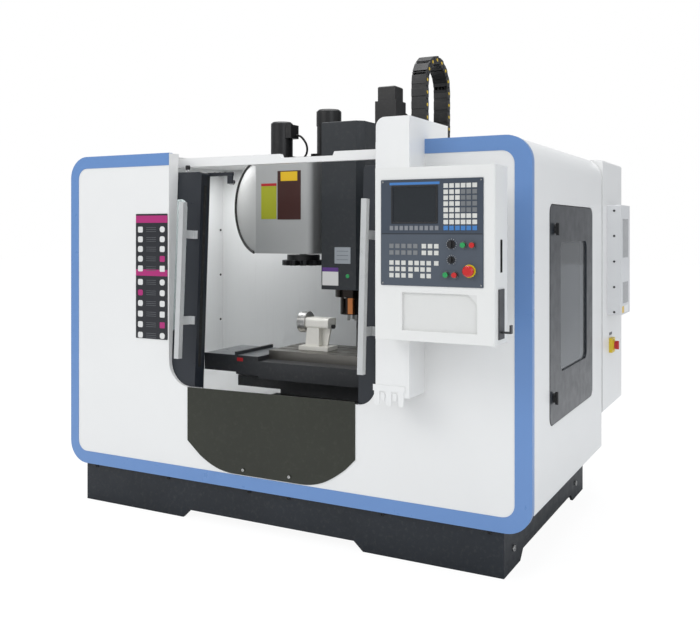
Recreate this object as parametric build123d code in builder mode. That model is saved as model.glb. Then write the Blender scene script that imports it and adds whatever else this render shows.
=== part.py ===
"""Vertical machining centre with an umbrella tool magazine, sliding front doors and a hung control box.

Frame: millimetres, +Z up, Y to the back, X along the front.
The origin lies on the floor, at the centre of the four foundation bolts.
"""
import os
from math import cos, pi, radians, sin

from build123d import *

os.makedirs("parts", exist_ok=True)

# Enclosure
half_width = 1168.0
front_y = -680.0
roof_z = 1690.0
skirt_z = 187.0
side_bottom_z = 258.0
side_rear_y = 550.0
corner_r = 102.0
sheet = 3.0
border_t = 2.0
wrap_depth = 26.0

# Doorway in the front panel, open at the top
door_left_x = -551.0
door_right_x = 519.0
sill_z = 611.0
left_sill_r = 118.0
right_sill_r = 86.0

# Plinth, bed and column
plinth_left_x = -1088.0
plinth_right_x = 1052.0
plinth_half_y = 652.0
plinth_top_z = 186.0
bolt_x = 970.0
bolt_y = 560.0
bolt_hole_r = 11.0
centre_x = 66.0
bed_top_z = 470.0
rail_gauge = 420.0
column_front_y = 455.0
column_rear_y = 775.0
column_half_x = 190.0
bed_half_x = 330.0
column_top_z = 1786.0

# Spindle head
spindle_y = -19.0
head_half_x = 112.0
head_front_y = -133.0
head_bottom_z = 1040.0
head_box_top_z = 1863.0
flange_r = 85.0
cartridge_r = 60.0
nose_z = 889.0
taper_r = 15.875

# Table and saddle
table_top_z = 748.0
table_left_x = -243.0
table_length = 800.0
table_front_y = -304.0
table_width = 320.0
slot_pitch = 80.0
slot_w = 14.0
guard_front_y = -398.0
guard_depth = 318.0
guard_top_z = 727.0
guard_bottom_z = 624.0
guard_wing_z = 646.0
guard_strip_z = 705.0
wing_step = 128.0
saddle_front_y = -300.0
cover_len = 170.0
cover_stages = 3

# Tool magazine
carousel_x = -218.0
carousel_y = spindle_y
carousel_r = 108.0
carousel_z = 1152.0
pockets = 12
cover_right_x = -110.0
cover_front_y = -128.0
cover_bottom_z = 1212.0
cover_top_z = 1680.0

# Sliding doors, which lean back at the top
door_lean = 3.0
door_plane_y = -661.0
door_t = 66.0
door_bottom_z = 578.0
door_top_z = 1603.0
left_door_x0 = -1015.0
left_door_x1 = -415.0
right_door_x0 = 430.0
right_door_x1 = 990.0
bar_w = 25.0
bar_t = 27.0
left_bar_x = -449.5
right_bar_x = 484.5
bar_low_z = 745.0
bar_high_z = 1455.0
bar_reach = 71.0
strap_h = 38.0
standoff_z = (915.0, 1310.0)

# Control box, hung on a cable duct
duct_left_x = 594.0
duct_right_x = 736.0
duct_front_y = -828.0
duct_rear_y = -430.0
duct_top_z = 1769.0
duct_bottom_z = 690.0
box_left_x = 660.0
box_right_x = 1122.0
box_front_y = -971.0
box_rear_y = -829.0
box_bottom_z = 930.0
box_top_z = 1560.0

# Right-hand access door and electrical cabinet
access_front_y = -428.0
access_rear_y = 335.0
access_bottom_z = 548.0
access_top_z = 1434.0
cabinet_left_x = 470.0
cabinet_front_y = 570.0
cabinet_rear_y = 1045.0
cabinet_bottom_z = 418.0
cabinet_top_z = 1683.0


def save(part, name):
    """Label a finished piece and write it as its own file."""
    part.label = name
    export_step(part, f"parts/{name}.step")


def save_group(builders, name):
    """Join pieces of one body that share a file and write them together."""
    with BuildPart() as group:
        for builder in builders:
            add(builder.part)
    save(group.part, name)


# Plinth: a sheet ring cut up between its feet, with an anchor shelf in each corner
with BuildPart() as base_plinth:
    plinth_w = plinth_right_x - plinth_left_x
    plinth_mid_x = (plinth_right_x + plinth_left_x) / 2
    with BuildSketch(Plane.XY):
        with Locations((plinth_mid_x, 0)):
            Rectangle(plinth_w, 2 * plinth_half_y)
            Rectangle(plinth_w - 24, 2 * plinth_half_y - 24, mode=Mode.SUBTRACT)
    extrude(amount=plinth_top_z)
    with BuildSketch(Plane.XY):
        for x in (-bolt_x, bolt_x):
            for y in (-bolt_y, bolt_y):
                with Locations((x, y)):
                    Rectangle(150, 170)
    extrude(amount=30)
    with Locations(Plane.XY):
        with GridLocations(2 * bolt_x, 2 * bolt_y, 2, 2):
            Hole(radius=bolt_hole_r)
    foot_gap = 440.0
    gap_rise = 38.0
    with BuildSketch(Plane.XZ.offset(plinth_half_y + 1)):
        with BuildLine():
            Polyline(
                (-489, -1), (-448, gap_rise), (405, gap_rise), (449, -1), (-489, -1)
            )
        make_face()
    extrude(amount=-2 * plinth_half_y - 2, mode=Mode.SUBTRACT)
    with BuildSketch(Plane.YZ.offset(plinth_left_x - 1)):
        with BuildLine():
            Polyline(
                (-foot_gap, -1), (-foot_gap + 40, gap_rise), (foot_gap - 40, gap_rise),
                (foot_gap, -1), (-foot_gap, -1)
            )
        make_face()
    extrude(amount=plinth_w + 2, mode=Mode.SUBTRACT)
    with BuildSketch(Plane.XY.offset(-1)):
        with Locations((centre_x, plinth_half_y)):
            Rectangle(2 * bed_half_x + 12, 60)
    extrude(amount=plinth_top_z + 2, mode=Mode.SUBTRACT)
save(base_plinth.part, "base_plinth")

# Tray: the sheet floor of the enclosure on a recessed upstand, open round the bed
tray_z = 262.0
tray_t = 4.0
with BuildPart() as base_tray:
    with BuildSketch(Plane.XY.offset(tray_z)):
        with Locations((0, (side_rear_y - sheet - 650) / 2)):
            Rectangle(2 * (half_width - sheet), side_rear_y - sheet + 650)
        with Locations((centre_x, 100)):
            Rectangle(2 * bed_half_x + 12, 1328, mode=Mode.SUBTRACT)
    extrude(amount=tray_t)
    with BuildSketch(Plane.XY.offset(plinth_top_z)):
        with Locations((plinth_mid_x, -50)):
            Rectangle(plinth_w - 16, 2 * plinth_half_y - 116)
            Rectangle(plinth_w - 24, 2 * plinth_half_y - 124, mode=Mode.SUBTRACT)
        with Locations((centre_x, 600)):
            Rectangle(2 * bed_half_x + 12, 300, mode=Mode.SUBTRACT)
    extrude(amount=tray_z - plinth_top_z)
save(base_tray.part, "base_tray")

# Bed: one ribbed casting, stepped up under the column, with two raised way seats
bed_front_y = -560.0
with BuildPart() as bed_casting:
    with BuildSketch(Plane.YZ.offset(centre_x - bed_half_x)):
        with BuildLine():
            Polyline(
                (bed_front_y, 60), (column_rear_y + 20, 60), (column_rear_y + 20, 520),
                (column_front_y - 25, 520), (column_front_y - 50, bed_top_z - 40),
                (bed_front_y + 60, bed_top_z - 40), (bed_front_y, bed_top_z - 130),
                (bed_front_y, 60)
            )
        make_face()
    extrude(amount=2 * bed_half_x)
    chamfer(bed_casting.edges().filter_by(Axis.Z).group_by(Axis.Y)[0], length=25)
    with BuildSketch(Plane.XY.offset(bed_top_z - 40)):
        for side in (-1, 1):
            with Locations((centre_x + side * rail_gauge / 2, -75)):
                Rectangle(90, 900)
    extrude(amount=40)
    with BuildSketch(Plane.YZ.offset(centre_x - bed_half_x - 1)):
        with Locations((-330, 190), (-60, 190), (210, 190)):
            Rectangle(190, 150)
    extrude(amount=60, mode=Mode.SUBTRACT)
    with BuildSketch(Plane.YZ.offset(centre_x + bed_half_x + 1)):
        with Locations((-330, 190), (-60, 190), (210, 190)):
            Rectangle(190, 150)
    extrude(amount=-60, mode=Mode.SUBTRACT)

# Levelling feet: four pads with a domed screw under the bed's corners
with BuildPart() as levelling_feet:
    for x in (centre_x - 270, centre_x + 270):
        for y in (-480, 700):
            with BuildSketch(Plane.XY) as pad:
                with Locations((x, y)):
                    Circle(55)
            extrude(amount=22)
            with BuildSketch(Plane.XY.offset(22)):
                with Locations((x, y)):
                    Circle(18)
            extrude(amount=38)

save_group((bed_casting, levelling_feet), "bed_casting")

# Column: a tapered casting with two way seats down its front and cored windows in its back
with BuildPart() as column:
    with BuildSketch(Plane.XZ.offset(-column_front_y)):
        with BuildLine():
            Polyline(
                (centre_x - column_half_x - 40, 520), (centre_x + column_half_x + 40, 520),
                (centre_x + column_half_x, 900), (centre_x + column_half_x, column_top_z),
                (centre_x - column_half_x, column_top_z), (centre_x - column_half_x, 900),
                (centre_x - column_half_x - 40, 520)
            )
        make_face()
    extrude(amount=-(column_rear_y - column_front_y))
    with BuildSketch(Plane.XZ.offset(-column_rear_y)):
        with Locations((centre_x, 760), (centre_x, 1080), (centre_x, 1400)):
            RectangleRounded(250, 230, 40)
    extrude(amount=90, mode=Mode.SUBTRACT)
    long_edges = column.edges().filter_by(Axis.Z).filter_by(lambda edge: edge.length > 800)
    fillet(long_edges.group_by(Axis.Y)[-1], radius=25)


# Linear guide: a waisted rail, drawn in the plane across its run
def rail_profile(width, height):
    with BuildSketch() as profile:
        with BuildLine():
            Polyline(
                (-width / 2, 0), (width / 2, 0), (width / 2, height * 0.35),
                (width * 0.34, height * 0.5), (width * 0.5, height * 0.72), (width * 0.5, height),
                (-width * 0.5, height), (-width * 0.5, height * 0.72), (-width * 0.34, height * 0.5),
                (-width / 2, height * 0.35), (-width / 2, 0)
            )
        make_face()
    return profile.sketch


rail_w = 35.0
rail_h = 30.0
with BuildPart() as y_rails:
    for side in (-1, 1):
        seat = Plane(
            origin=(centre_x + side * rail_gauge / 2, 365, bed_top_z), x_dir=(1, 0, 0), z_dir=(0, -1, 0)
        )
        with BuildSketch(seat):
            add(rail_profile(rail_w, rail_h))
        extrude(amount=880)

z_gauge = 150.0
with BuildPart() as z_rails:
    for side in (-1, 1):
        seat = Plane(
            origin=(centre_x + side * z_gauge / 2, column_front_y, 800), x_dir=(-1, 0, 0), z_dir=(0, 0, 1)
        )
        with BuildSketch(seat):
            add(rail_profile(rail_w, rail_h))
        extrude(amount=940)
save_group((y_rails, z_rails), "linear_ways")

# Front panel: the sheet round the doorway, with a jamb flange that stops short of the leaning doors
sheet_y = front_y + border_t
door_plane = Plane(
    origin=(0, door_plane_y, sill_z),
    x_dir=(1, 0, 0),
    z_dir=(0, -cos(radians(door_lean)), sin(radians(door_lean)))
)
with BuildSketch() as doorway:
    with BuildLine():
        FilletPolyline(
            (door_left_x, roof_z + 40), (door_left_x, sill_z), (0, sill_z), radius=left_sill_r
        )
        FilletPolyline(
            (0, sill_z), (door_right_x, sill_z), (door_right_x, roof_z + 40), radius=right_sill_r
        )
        Line((door_right_x, roof_z + 40), (door_left_x, roof_z + 40))
    make_face()
panel_h = roof_z - skirt_z
panel_mid_z = (roof_z + skirt_z) / 2
front_plane = Plane.XZ.offset(-sheet_y)
with BuildPart() as front_panel:
    with BuildSketch(front_plane):
        with Locations((0, panel_mid_z)):
            RectangleRounded(2 * half_width, panel_h, corner_r)
        add(doorway.sketch, mode=Mode.SUBTRACT)
    extrude(amount=-sheet)
    with BuildSketch(front_plane.offset(-sheet)):
        offset(doorway.sketch, amount=sheet, mode=Mode.ADD)
        add(doorway.sketch, mode=Mode.SUBTRACT)
        with Locations((0, roof_z + 200)):
            Rectangle(2 * half_width, 400, mode=Mode.SUBTRACT)
    extrude(amount=-80)
    with BuildSketch(door_plane.offset(2)):
        with Locations((0, 600)):
            Rectangle(3000, 1216)
    extrude(amount=-200, mode=Mode.SUBTRACT)

# Border: a proud coloured frame round the front, wrapped back a little way over every edge
border_left_x = -1119.0
border_right_x = 1102.0
border_low_z = 244.0
border_high_z = 1634.0
border_gap_left = door_left_x
border_gap_right = 736.0
outer_w = 2 * (half_width + border_t)
outer_h = panel_h + 2 * border_t
with BuildSketch() as top_gap:
    with Locations(((border_gap_left + border_gap_right) / 2, border_high_z + 100)):
        Rectangle(border_gap_right - border_gap_left, 204)
with BuildPart() as border_trim:
    with BuildSketch(Plane.XZ.offset(-front_y)):
        with Locations((0, panel_mid_z)):
            RectangleRounded(outer_w, outer_h, corner_r + border_t)
        with Locations(((border_left_x + border_right_x) / 2, (border_low_z + border_high_z) / 2)):
            RectangleRounded(
                border_right_x - border_left_x, border_high_z - border_low_z, 52, mode=Mode.SUBTRACT
            )
        add(top_gap.sketch, mode=Mode.SUBTRACT)
    extrude(amount=-border_t)
    with BuildSketch(front_plane):
        with Locations((0, panel_mid_z)):
            RectangleRounded(outer_w, outer_h, corner_r + border_t)
            RectangleRounded(2 * half_width, panel_h, corner_r, mode=Mode.SUBTRACT)
        add(top_gap.sketch, mode=Mode.SUBTRACT)
    extrude(amount=-wrap_depth)
save(border_trim.part, "border_trim")

# Apron: a dark plate hung over the sill, cut away in a shallow bowl
with BuildPart() as apron_plate:
    with BuildSketch(front_plane):
        with BuildLine():
            Polyline((-441, 612), (-441, 368), (-369, 308))
            Spline((-369, 308), (-181, 248), tangents=((1, -0.62), (1, 0)))
            Line((-181, 248), (162, 248))
            Spline((162, 248), (379, 336), tangents=((1, 0), (1, 0.75)))
            Polyline((379, 336), (426, 383), (426, 623), (-441, 612))
        make_face()
    extrude(amount=3)
save(apron_plate.part, "apron_plate")


# Side shells: a bent sheet down each side, over the corner and a little way across the roof
def shell_section(side, roof_edge_x):
    rise = roof_z - side_bottom_z
    with BuildSketch() as section:
        with Locations((0, side_bottom_z)):
            RectangleRounded(2 * half_width, 2 * rise, corner_r)
            RectangleRounded(
                2 * half_width - 2 * sheet, 2 * rise - 2 * sheet, corner_r - sheet, mode=Mode.SUBTRACT
            )
        with Locations(((side * half_width + roof_edge_x) / 2, side_bottom_z + rise / 2)):
            Rectangle(half_width - side * roof_edge_x, rise, mode=Mode.INTERSECT)
    return section.sketch


shell_plane = Plane.XZ.offset(-(sheet_y + sheet))
shell_depth = side_rear_y - sheet_y - sheet
rear_plane = Plane.XZ.offset(-side_rear_y)
left_roof_x = -660.0
right_roof_x = 560.0
rear_wall_left_x = -165.0
rear_wall_right_x = 300.0
with BuildPart() as left_side_shell:
    with BuildSketch(shell_plane):
        add(shell_section(-1, left_roof_x))
    extrude(amount=-shell_depth)
    with BuildSketch(rear_plane):
        with Locations(((rear_wall_left_x - half_width) / 2, (side_bottom_z + roof_z) / 2)):
            RectangleRounded(half_width + rear_wall_left_x, roof_z - side_bottom_z, corner_r)
        with Locations((-420, (side_bottom_z + roof_z) / 2)):
            Rectangle(2 * (420 + rear_wall_left_x), roof_z - side_bottom_z)
        with Locations((centre_x, 350)):
            Rectangle(2 * bed_half_x + 12, 2 * (526 - 350), mode=Mode.SUBTRACT)
    extrude(amount=sheet)
    with Locations((-half_width, sheet_y, side_bottom_z)):
        Box(260, 60, 70, mode=Mode.SUBTRACT)
save(left_side_shell.part, "left_side_shell")

access_y = (access_front_y + access_rear_y) / 2
access_z = (access_bottom_z + access_top_z) / 2
access_w = access_rear_y - access_front_y
access_h = access_top_z - access_bottom_z
access_r = 38.0
with BuildPart() as right_side_shell:
    with BuildSketch(shell_plane):
        add(shell_section(1, right_roof_x))
    extrude(amount=-shell_depth)
    with BuildSketch(rear_plane):
        with Locations(((rear_wall_right_x + half_width) / 2, (side_bottom_z + roof_z) / 2)):
            RectangleRounded(half_width - rear_wall_right_x, roof_z - side_bottom_z, corner_r)
        with Locations((600, (side_bottom_z + roof_z) / 2)):
            Rectangle(2 * (600 - rear_wall_right_x), roof_z - side_bottom_z)
        with Locations((centre_x, 350)):
            Rectangle(2 * bed_half_x + 12, 2 * (526 - 350), mode=Mode.SUBTRACT)
    extrude(amount=sheet)
    with BuildSketch(Plane.YZ.offset(half_width + 1)):
        with Locations((access_y, access_z)):
            RectangleRounded(access_w + 6, access_h + 6, access_r + 3)
    extrude(amount=-sheet - 2, mode=Mode.SUBTRACT)
    with Locations((half_width, sheet_y, side_bottom_z)):
        Box(260, 60, 70, mode=Mode.SUBTRACT)
save(right_side_shell.part, "right_side_shell")

# Wet-side liners: inner wall, rear wall and a floor that drains to the bed
liner_left_x = -1034.0
liner_right_x = 1100.0
liner_rear_y = 400.0
liner_front_y = -590.0
liner_top_z = roof_z - sheet
bed_left_x = centre_x - bed_half_x
bed_right_x = centre_x + bed_half_x
column_left_x = centre_x - column_half_x
column_right_x = centre_x + column_half_x
bed_deck_z = bed_top_z - 40
cover_half_w = 259.0


def liner_floor(wall_x, deck_edge_x, deck_in_x):
    """Floor sheet as a closed outline in the plane across the machine."""
    with BuildSketch() as floor:
        with BuildLine():
            Polyline(
                (wall_x, 560), (deck_edge_x, bed_deck_z + sheet + 4), (deck_edge_x, bed_deck_z + sheet),
                (deck_in_x, bed_deck_z + sheet), (deck_in_x, bed_deck_z), (deck_edge_x, bed_deck_z),
                (wall_x, 553), (wall_x, 560)
            )
        make_face()
    return floor.sketch


liner_plane = Plane.XZ.offset(-liner_front_y)
with BuildPart() as inner_liner_left:
    with BuildSketch(Plane.XY.offset(500)):
        with BuildLine():
            Polyline(
                (liner_left_x, liner_front_y), (liner_left_x, liner_rear_y),
                (column_left_x - 4, liner_rear_y), (column_left_x - 4, liner_rear_y - sheet),
                (liner_left_x + sheet, liner_rear_y - sheet), (liner_left_x + sheet, liner_front_y),
                (liner_left_x, liner_front_y)
            )
        make_face()
    extrude(amount=liner_top_z - 500)
    with BuildSketch(Plane.XZ.offset(-liner_rear_y)):
        with Locations(((liner_left_x + column_left_x - 4) / 2, 467)):
            Rectangle(column_left_x - 4 - liner_left_x, 68)
    extrude(amount=sheet)
    with BuildSketch(liner_plane):
        add(liner_floor(liner_left_x, bed_left_x, bed_left_x + 50))
    extrude(amount=-(liner_rear_y - liner_front_y))
    with BuildSketch(liner_plane):
        with BuildLine():
            Polyline(
                (liner_left_x, 560), (bed_left_x - 2, 560), (bed_left_x - 2, bed_deck_z), (liner_left_x, 553),
                (liner_left_x, 560)
            )
        make_face()
    extrude(amount=-sheet)
    for y in (-500, 100):
        for z in (700, 1500):
            with Locations(((liner_left_x - half_width + sheet) / 2, y, z)):
                Box(half_width - sheet + liner_left_x, 60, 6)
save(inner_liner_left.part, "inner_liner_left")

with BuildPart() as inner_liner_right:
    with BuildSketch(Plane.XY.offset(500)):
        with BuildLine():
            Polyline(
                (liner_right_x, liner_front_y), (liner_right_x, liner_rear_y),
                (column_right_x + 4, liner_rear_y), (column_right_x + 4, liner_rear_y - sheet),
                (liner_right_x - sheet, liner_rear_y - sheet), (liner_right_x - sheet, liner_front_y),
                (liner_right_x, liner_front_y)
            )
        make_face()
    extrude(amount=liner_top_z - 7 - 500)
    with BuildSketch(Plane.XZ.offset(-liner_rear_y)):
        with Locations(((liner_right_x + column_right_x + 4) / 2, 467)):
            Rectangle(liner_right_x - column_right_x - 4, 68)
    extrude(amount=sheet)
    with BuildSketch(liner_plane):
        add(liner_floor(liner_right_x, bed_right_x, bed_right_x - 50))
    extrude(amount=-(liner_rear_y - liner_front_y))
    with BuildSketch(liner_plane):
        with BuildLine():
            Polyline(
                (liner_right_x, 560), (bed_right_x + 2, 560), (bed_right_x + 2, bed_deck_z),
                (liner_right_x, 553), (liner_right_x, 560)
            )
        make_face()
    extrude(amount=-sheet)
    with BuildSketch(Plane.YZ.offset(liner_right_x - sheet - 1)):
        with Locations((access_y, access_z)):
            RectangleRounded(access_w, access_h, access_r)
    extrude(amount=sheet + 2, mode=Mode.SUBTRACT)
    with BuildSketch(Plane.YZ.offset(liner_right_x)):
        with Locations((access_y, access_z)):
            RectangleRounded(access_w + 2 * sheet, access_h + 2 * sheet, access_r + sheet)
            RectangleRounded(access_w, access_h, access_r, mode=Mode.SUBTRACT)
    extrude(amount=half_width - sheet - liner_right_x - 22)
    for y in (-500, 365):
        for z in (700, 1500):
            with Locations(((liner_right_x + half_width - sheet) / 2, y, z)):
                Box(half_width - sheet - liner_right_x, 24, 6)
save(inner_liner_right.part, "inner_liner_right")

# Column covers: two shallow channels over the guideways, with the head's slot between them
cover_face_y = liner_rear_y + 12
slot_half = head_half_x + 4
with BuildPart() as column_covers:
    with BuildSketch(Plane.XY.offset(520)):
        for side in (-1, 1):
            strip_w = column_half_x - slot_half
            mid_x = centre_x + side * (column_half_x + slot_half) / 2
            with Locations((mid_x, (cover_face_y + column_front_y) / 2)):
                Rectangle(strip_w, column_front_y - cover_face_y)
            with Locations((mid_x, (cover_face_y + column_front_y) / 2 + sheet)):
                Rectangle(strip_w - 2 * sheet, column_front_y - cover_face_y, mode=Mode.SUBTRACT)
    extrude(amount=column_top_z - 520)
save_group((column, column_covers), "column")

# Top beam across the doorway, with its upper edge cut down over the middle
beam_y = -560.0
with BuildPart() as top_beam:
    with BuildSketch(Plane.XZ.offset(-beam_y + 15)):
        with BuildLine():
            Polyline(
                (liner_left_x + sheet, 1630), (liner_right_x - sheet, 1630), (liner_right_x - sheet, 1672),
                (270, 1672), (262, 1654), (-2, 1654), (-10, 1672), (liner_left_x + sheet, 1672),
                (liner_left_x + sheet, 1630)
            )
        make_face()
    extrude(amount=-30)
save(top_beam.part, "top_beam")

# Bottom door rail: an angle fixed to the back of the front panel
with BuildPart() as door_rail:
    with BuildSketch(Plane.YZ.offset(-1100)):
        with BuildLine():
            Polyline(
                (sheet_y + sheet, 540), (sheet_y + sheet, 573), (-595, 573), (-595, 569),
                (sheet_y + sheet + 4, 569), (sheet_y + sheet + 4, 540), (sheet_y + sheet, 540)
            )
        make_face()
    extrude(amount=2200)
save_group((front_panel, door_rail), "front_panel")


# Sliding door: a framed slab in the leaning plane with a rebated window in its hidden half
def door_slab(x0, x1, window_x0, window_x1):
    low = (door_bottom_z - sill_z) / cos(radians(door_lean))
    high = (door_top_z - sill_z) / cos(radians(door_lean))
    with BuildPart() as slab:
        with BuildSketch(door_plane):
            with Locations(((x0 + x1) / 2, (low + high) / 2)):
                RectangleRounded(x1 - x0, high - low, 14)
        extrude(amount=-door_t)
        with BuildSketch(door_plane):
            with Locations(((window_x0 + window_x1) / 2, 560)):
                RectangleRounded(window_x1 - window_x0 - 24, 616, 40)
        extrude(amount=-door_t, mode=Mode.SUBTRACT)
        with BuildSketch(door_plane.offset(-20)):
            with Locations(((window_x0 + window_x1) / 2, 560)):
                RectangleRounded(window_x1 - window_x0, 640, 52)
        extrude(amount=-door_t, mode=Mode.SUBTRACT)
        with BuildSketch(door_plane.offset(-door_t + 22)):
            with Locations(((x0 + x1) / 2, 20)):
                Rectangle(x1 - x0 - 60, 40)
        extrude(amount=-door_t, mode=Mode.SUBTRACT)
    return slab.part


def door_pane(window_x0, window_x1):
    with BuildPart() as pane:
        with BuildSketch(door_plane.offset(-20)):
            with Locations(((window_x0 + window_x1) / 2, 560)):
                RectangleRounded(window_x1 - window_x0 - 1, 639, 51)
        extrude(amount=-8)
    return pane.part


# Door handle: a square bar on two bent straps, each with a foot on the door
def door_handle(x, foot_side):
    low = (bar_low_z - sill_z) / cos(radians(door_lean))
    high = (bar_high_z - sill_z) / cos(radians(door_lean))
    with BuildPart() as handle:
        with BuildSketch(door_plane.offset(bar_reach)):
            with Locations((x, (low + high) / 2)):
                Rectangle(bar_w, high - low)
        extrude(amount=bar_t)
        for z in standoff_z:
            level = (z - sill_z) / cos(radians(door_lean))
            with BuildSketch(door_plane):
                with Locations((x + foot_side * 10, level)):
                    Rectangle(28, strap_h)
            extrude(amount=5)
            with BuildSketch(door_plane.offset(5)):
                with Locations((x, level)):
                    Rectangle(8, strap_h)
            extrude(amount=bar_reach - 5)
    return handle.part


save(door_slab(left_door_x0, left_door_x1, -965, -480), "left_door")
save(door_pane(-965, -480), "left_door_pane")
save(door_handle(left_bar_x, 1), "left_handle")
save(door_slab(right_door_x0, right_door_x1, 520, 940), "right_door")
save(door_pane(520, 940), "right_door_pane")
save(door_handle(right_bar_x, 1), "right_handle")

# Cable duct: a hollow folded column at the front that turns back over the roof
duct_mid_x = (duct_left_x + duct_right_x) / 2
duct_w = duct_right_x - duct_left_x
duct_sheet = 2.5
with BuildPart() as cable_duct:
    with BuildSketch(Plane.YZ.offset(duct_left_x)):
        with BuildLine():
            Polyline(
                (duct_front_y, duct_bottom_z), (duct_front_y, duct_top_z), (duct_rear_y, duct_top_z),
                (duct_rear_y, roof_z), (sheet_y, roof_z), (sheet_y, duct_bottom_z),
                (duct_front_y, duct_bottom_z)
            )
        make_face()
    extrude(amount=duct_w)
    top_left = cable_duct.edges().filter_by(Axis.Y).group_by(Axis.Z)[-1].sort_by(Axis.X)[0]
    fillet(top_left, radius=38)
    offset(amount=-duct_sheet, openings=cable_duct.faces().sort_by(Axis.Z)[0])

# Hook rack under the duct: a flat strip with three upturned fingers
with BuildPart() as hook_rack:
    with BuildSketch(Plane.XZ.offset(-duct_front_y)):
        with Locations(((583 + 719) / 2, 722)):
            Rectangle(136, 24)
        with Locations((600, 692), (650, 692), (702, 692)):
            RectangleRounded(24, 76, 11)
        with Locations((625, 690), (676, 690)):
            RectangleRounded(18, 30, 8)
        with Locations((duct_mid_x, 740)):
            Rectangle(duct_w, 12, mode=Mode.SUBTRACT)
    extrude(amount=3)

# Hinge lugs that carry the control box on the duct
hinge_x = 650.0
hinge_y = -836.0
knuckle_r = 7.0
with BuildPart() as box_hinge_lugs:
    for z in (1010, 1450):
        with BuildSketch(Plane.XY.offset(z)):
            with Locations((hinge_x, hinge_y)):
                Circle(knuckle_r)
            with Locations((hinge_x, (hinge_y + duct_front_y) / 2)):
                Rectangle(9, duct_front_y - hinge_y)
        extrude(amount=40)
save_group((cable_duct, hook_rack, box_hinge_lugs), "cable_duct")

knob_sites = ((963.0, 1281.0, 15.0), (963.0, 1226.0, 13.0))
button_sites = ((1009.0, 1279.0), (1042.0, 1279.0), (944.0, 1173.0), (977.0, 1173.0))
estop_x = 1031.0
estop_z = 1188.0
button_shaft_r = 4.0
plunger_w = 8.0
isolator_stem_r = 9.0
carousel_stem_r = 20.0
running_fit = 0.09
sliding_gap = 0.3

# Control box: a folded case with a recessed lower pocket, a rear cover and its own knuckles
box_mid_x = (box_left_x + box_right_x) / 2
box_mid_z = (box_bottom_z + box_top_z) / 2
box_w = box_right_x - box_left_x
box_h = box_top_z - box_bottom_z
box_d = box_rear_y - box_front_y
panel_left_x = 687.0
panel_right_x = 1081.0
panel_low_z = 1130.0
panel_high_z = 1515.0
pocket_left_x = 770.0
pocket_right_x = 1057.0
pocket_low_z = 968.0
pocket_high_z = 1105.0
with BuildPart() as control_box:
    with Locations((box_mid_x, (box_front_y + box_rear_y) / 2, box_mid_z)):
        Box(box_w, box_d, box_h)
    chamfer(control_box.edges().filter_by(Axis.Z), length=4)
    with BuildSketch(Plane.XZ.offset(-box_rear_y)):
        with Locations((box_mid_x, box_mid_z)):
            Rectangle(box_w - 24, box_h - 24)
    extrude(amount=box_d - 14, mode=Mode.SUBTRACT)
    with BuildSketch(Plane.XZ.offset(-box_rear_y)):
        with Locations((box_mid_x, box_mid_z)):
            Rectangle(box_w - 12, box_h - 12)
    extrude(amount=3, mode=Mode.SUBTRACT)
    with BuildSketch(Plane.XZ.offset(-box_front_y)):
        with BuildLine():
            Polyline(
                (pocket_left_x, pocket_low_z), (pocket_right_x, pocket_low_z),
                (pocket_right_x, pocket_high_z - 34), (pocket_right_x - 34, pocket_high_z),
                (pocket_left_x, pocket_high_z), (pocket_left_x, pocket_low_z)
            )
        make_face()
    extrude(amount=-10, mode=Mode.SUBTRACT)
    with BuildSketch(Plane.XZ.offset(-box_front_y)):
        with Locations(((panel_left_x + panel_right_x) / 2, (panel_low_z + panel_high_z) / 2)):
            Rectangle(panel_right_x - panel_left_x - 24, panel_high_z - panel_low_z - 24)
    extrude(amount=-14, mode=Mode.SUBTRACT)
    with BuildSketch(Plane.YZ.offset(box_right_x)):
        with Locations((-900, 1240)):
            Rectangle(26, 116)
    extrude(amount=-5, mode=Mode.SUBTRACT)
    for z in (1050.5, 1490.5):
        with BuildSketch(Plane.XY.offset(z)):
            with Locations((hinge_x, hinge_y)):
                Circle(knuckle_r)
            with Locations((hinge_x + 6, hinge_y)):
                Rectangle(12, 9)
        extrude(amount=30)

with BuildPart() as box_rear_cover:
    with BuildSketch(Plane.XZ.offset(-box_rear_y)):
        with Locations((box_mid_x, box_mid_z)):
            Rectangle(box_w - 12, box_h - 12)
    extrude(amount=3)

# Service bracket with a hook on the box's right side
with BuildPart() as box_side_bracket:
    with Locations((box_right_x + 2, -906, 1036)):
        Box(4, 60, 176)
    with Locations((box_right_x + 22, -906, 972)):
        Box(36, 20, 6)
    with Locations((box_right_x + 37, -906, 984)):
        Box(6, 20, 30)
save_group((control_box, box_rear_cover, box_side_bracket), "control_box")

# Operator panel: a flat plate with a recessed screen, raised key fields and round control sites
panel_t = 3.0
panel_plane = Plane.XZ.offset(-box_front_y)
panel_face = Plane.XZ.offset(-box_front_y + panel_t)
screen_x = 820.5
screen_z = 1424.0
screen_w = 170.0
screen_h = 126.0
press_site_r = button_shaft_r + running_fit
with BuildPart() as operator_panel:
    with BuildSketch(panel_plane):
        with Locations(((panel_left_x + panel_right_x) / 2, (panel_low_z + panel_high_z) / 2)):
            RectangleRounded(panel_right_x - panel_left_x, panel_high_z - panel_low_z, 3)
        with Locations((screen_x, screen_z)):
            RectangleRounded(screen_w, screen_h, 4, mode=Mode.SUBTRACT)
    extrude(amount=panel_t)
    for x, z in button_sites:
        with BuildSketch(panel_face):
            with Locations((x, z)):
                Circle(12.5)
        extrude(amount=4)
    with BuildSketch(panel_face):
        with Locations((estop_x, estop_z)):
            Circle(23)
    extrude(amount=6)
    with BuildSketch(panel_plane.offset(20)):
        with Locations(*button_sites, (estop_x, estop_z)):
            Rectangle(plunger_w + 2 * sliding_gap, plunger_w + 2 * sliding_gap)
        with Locations(*[(x, z) for x, z, knob_r in knob_sites]):
            Circle(press_site_r)
    extrude(amount=-30, mode=Mode.SUBTRACT)
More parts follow.
